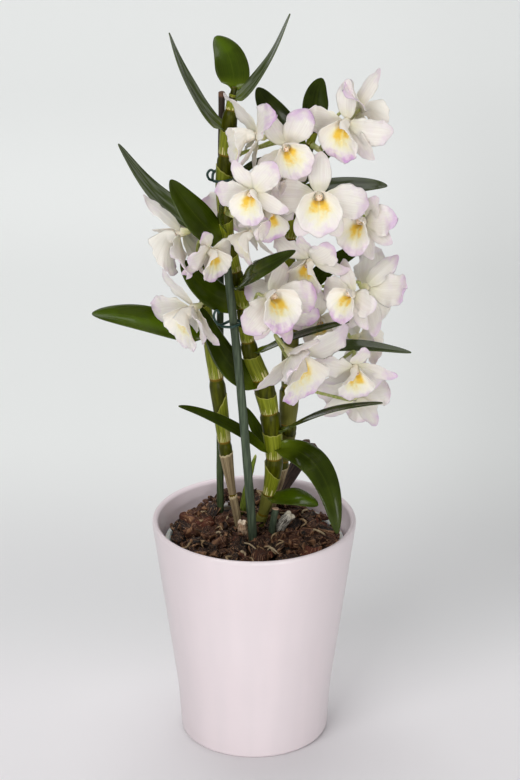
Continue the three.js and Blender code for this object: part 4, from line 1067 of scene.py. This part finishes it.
f = Finish("column", Roughness=0.45, Subsurface_Weight=0.3, Subsurface_Radius=(1, 0.8, 0.7),
           Subsurface_Scale=0.0015)
u = f.place()[0]
cap = f.mix(f.ramp(f.cloud(900), 0.36, 0.5), "9a6a4c", "ecd9c2")
pale = f.mix((u, 0.1, 0.6), "ccc98f", "f0e7d6")
f.base(f.mix((u, 0.86, 0.93), pale, cap))
f.bump(f.cloud(1800), 0.15)

f = Finish("flower_stalk", Roughness=0.45, Subsurface_Weight=0.2, Subsurface_Radius=(1, 0.9, 0.4),
           Subsurface_Scale=0.001)
streak = f.cloud(700, 2, z=0.3)
pale = f.mix(f.ramp(f.place()[0], 0.2, 1), "9fae52", "cfcf94")
f.base(f.mix((streak, 0.4, 0.7, 0, 0.5), pale, "dccfae"))
f.bump(streak, 0.2)

# %% Put every spray on the plant
first = 1
for name in SPRAYS:
    add_spray(name, first)
    first += len(SPRAYS[name][2])
print("blooms:", first - 1)

# %% [markdown]
# ## Stakes, ties and old growth
# Split-cane stakes are stained dark green and keep their grain. The ties are coated wire, bent once round and
# twisted off with a free end. Near the bark stand the remains of older canes: brown, flaky and cut across.

# %% Stakes: path points, and the radius at the foot and at the top
STAKES = {
    "stake_front": ([(3.2, -2, 84), (-8, -8, 242), (-17, -12, 337)], 3.0, 2.6),
    "stake_tall": ([(-23, 35, 104), (-22.5, 29, 245), (-20, 12, 442)], 2.5, 2.1),
    "stake_right": ([(8.5, 6, 100), (12, 8, 142), (14.2, 8.8, 157)], 2.5, 2.3),
}


def grain_finish(name, dark, light, cut, worn):
    """Long streaks of two tones along z, worn to a bare brown where u passes worn, and a cut face past 0.994."""
    f = Finish(name, Roughness=0.6, Specular_IOR_Level=0.3)
    u = f.place()[0]
    streak = f.cloud(700, 4, 0.6, z=0.06)
    f.base(f.coats(
        f.mix((streak, 0.35, 0.68), dark, light),
        ((u, worn, worn + 0.03), f.mix(streak, "1c150f", "46382a")),
        ((u, 0.992, 0.996), cut)))
    f.bump(streak, 0.25, 0.0004)


grain_finish("stake_green", "333f2f", "525f4a", "cfa98f", worn=0.985)
grain_finish("stake_olive", "29351f", "4b5936", "6a4a36", worn=0.86)
for name, (path, low, high) in STAKES.items():
    s = np.concatenate([np.linspace(0, 1, 90), [1.0, 1.0]])
    radius = low + (high - low) * s + 0.06 * np.sin(31 * s) + 0.05 * np.sin(77 * s)
    radius[-2:] = [high - 0.25, 0.6 * high]
    centre = catmull(path, s)
    end = unit(np.gradient(centre[:-2], axis=0)[-1])
    centre[-2:] = [centre[-3] + 0.25 * end, centre[-3] + 0.3 * end]
    a = angles(20)
    facets = 1 + 0.03 * np.sin(3 * a + low * 9) + 0.015 * np.sin(7 * a)
    ring = rings(*ring_axes(np.broadcast_to(unit(centre[-3] - centre[0]), centre.shape)), len(a))
    grid = centre[:, None] + ring * (radius[:, None] * facets)[..., None]
    finish = "stake_olive" if name == "stake_tall" else "stake_green"
    piece = Piece()
    piece.tube(grid, u=np.broadcast_to(s[:, None], grid.shape[:2]))
    piece.build(name.replace("stake", "stick"), [finish], [name])

# %% Ties: a closed loop of wire, and a tail that curls off it
TIES = {
    "tie_upper": [(-25, -3, 389), (-18.6, -6.8, 390), (-12, -3, 391), (-12, 8, 391), (-16.4, 18, 391),
                  (-20.6, 20.8, 390), (-25.2, 15, 389), (-26, 5, 389)],
    "tie_lower": [(-8.4, -10.8, 297), (-12.6, -15, 296), (-17.2, -13.3, 295), (-20.8, -9.8, 294.5),
                  (-18.2, -6.2, 295), (-12.7, -5.9, 297)],
}
TAILS = {
    "tie_upper": [(-25.4, -2, 389), (-28, -5, 391), (-29, -7, 395), (-27, -8.5, 398), (-24.5, -8.5, 397)],
    "tie_lower": [(-20.4, -9.9, 294.6), (-23.5, -12, 297), (-25.5, -12.5, 302), (-24, -12, 306), (-22, -11.5, 304)],
}
f = Finish("coated_wire", Roughness=0.4)
f.base(f.mix(f.cloud(500), "17302b", "284a42"))
f.bump(f.cloud(900), 0.15)
STEPS, SIDES = 120, 10
for name, points in TIES.items():
    piece = Piece()
    s = np.linspace(0, 1, STEPS + 1)[:-1]
    loop = np.array(points + points[:3], float)
    run = catmull(loop, (1 + s * len(points)) / (len(loop) - 1))
    tangent = unit(np.roll(run, -1, 0) - np.roll(run, 1, 0))
    side = unit(np.array([0, 0, 1.0]) - tangent * tangent[:, 2:])
    grid = run[:, None] + 0.9 * rings(side, np.cross(tangent, side), SIDES)
    quads = cells(np.pad(np.arange(STEPS * SIDES).reshape(STEPS, SIDES), ((0, 1), (0, 1)), mode="wrap"))
    place = np.stack([np.repeat(s, SIDES), np.tile(angles(SIDES), STEPS), np.zeros(STEPS * SIDES)], -1)
    piece.add(grid, quads, place, 1.0, 0)
    tail = catmull(TAILS[name], np.linspace(0, 1, 30))
    piece.tube(tube_grid(tail, np.full(30, 0.8), SIDES))
    piece.build(name.replace("tie", "wire"), ["coated_wire"], [name])

# %% Old growth
def husk_finish(name, dark, light, cut, where=0.94):
    """Lengthwise flakes between two tones, with paler fibres at the cut end, from u = where on."""
    f = Finish(name, Roughness=0.75)
    u, v, _ = f.place()
    flakes = f.streaks(f.times(v, 30), 0, f.times(u, 4), 1.2, 4, 0.65)
    tone = f.mix((flakes, 0.38, 0.66), dark, light)
    f.base(f.mix((u, where, where + 0.04), tone, cut))
    f.bump(flakes, 0.8, 0.0008)


husk_finish("old_cane", "1a120e", "4c382b", "4a2f22", where=0.84)
husk_finish("young_shoot", "63781a", "94a83a", "b8c266")
husk_finish("cut_stub", "a0795a", "e0c6a8", "efdcc4")
husk_finish("dry_husk", "2c2018", "f0e9da", "ddd4c0", where=0.93)

# Finish, the record's name for it, how rough, how knobbed in mm and how far torn at its end, path with a radius.
GROWTH = {
    "cane_old": ("old_cane", "old_cane", 0.5, 1.5, 0.04,
                 [(9, 44, 126, 2.8), (15, 46, 146, 3.4), (27, 51, 166, 4.4), (38.5, 56, 185, 4.4)]),
    "shoot_young": ("young_shoot", "cane", 0.0, 0, 0,
                    [(-9, 33, 128, 2.4), (-7, 33, 150, 2.3), (-3, 31, 171, 2), (1, 29, 187, 0.9)]),
    "stub_cut": ("cut_stub", "husk", 0.22, 0.5, 0.16,
                 [(-6, 3, 130, 2.4), (-7.5, 3.5, 143, 3.3), (-8.5, 4, 151, 2.2)]),
    "stub_dry": ("dry_husk", "husk", 0.22, 0.2, 0.06,
                 [(12.5, 14, 133, 2.8), (17.5, 13, 142, 3.5), (25, 12, 152, 3.2)]),
}
for name, (finish, slot, rough, knob, torn, path) in GROWTH.items():
    s, a = down_and_round(60, 28)
    scale = 1 + rough * 0.35 * np.sin(5 * a + 9 * s) + 0.04 * np.sin(14 * s * np.pi)
    bulge = rough * (0.6 * np.sin(9 * a + 4 * s) + 0.4 * np.sin(17 * a - 13 * s)) + knob * smooth((s - 0.84) / 0.08)
    close = np.sqrt(np.clip((1.004 - s) / 0.03, 0.05, 1))
    t = s * (1 - torn * (0.5 - 0.5 * np.cos(3 * a)) * smooth((s - 0.7) / 0.3))
    piece = Piece()
    piece.tube(stem_point(path, t, a, scale * close, bulge), u=s, v=a / (2 * np.pi))
    piece.build(name + "_grown", [finish], [name])
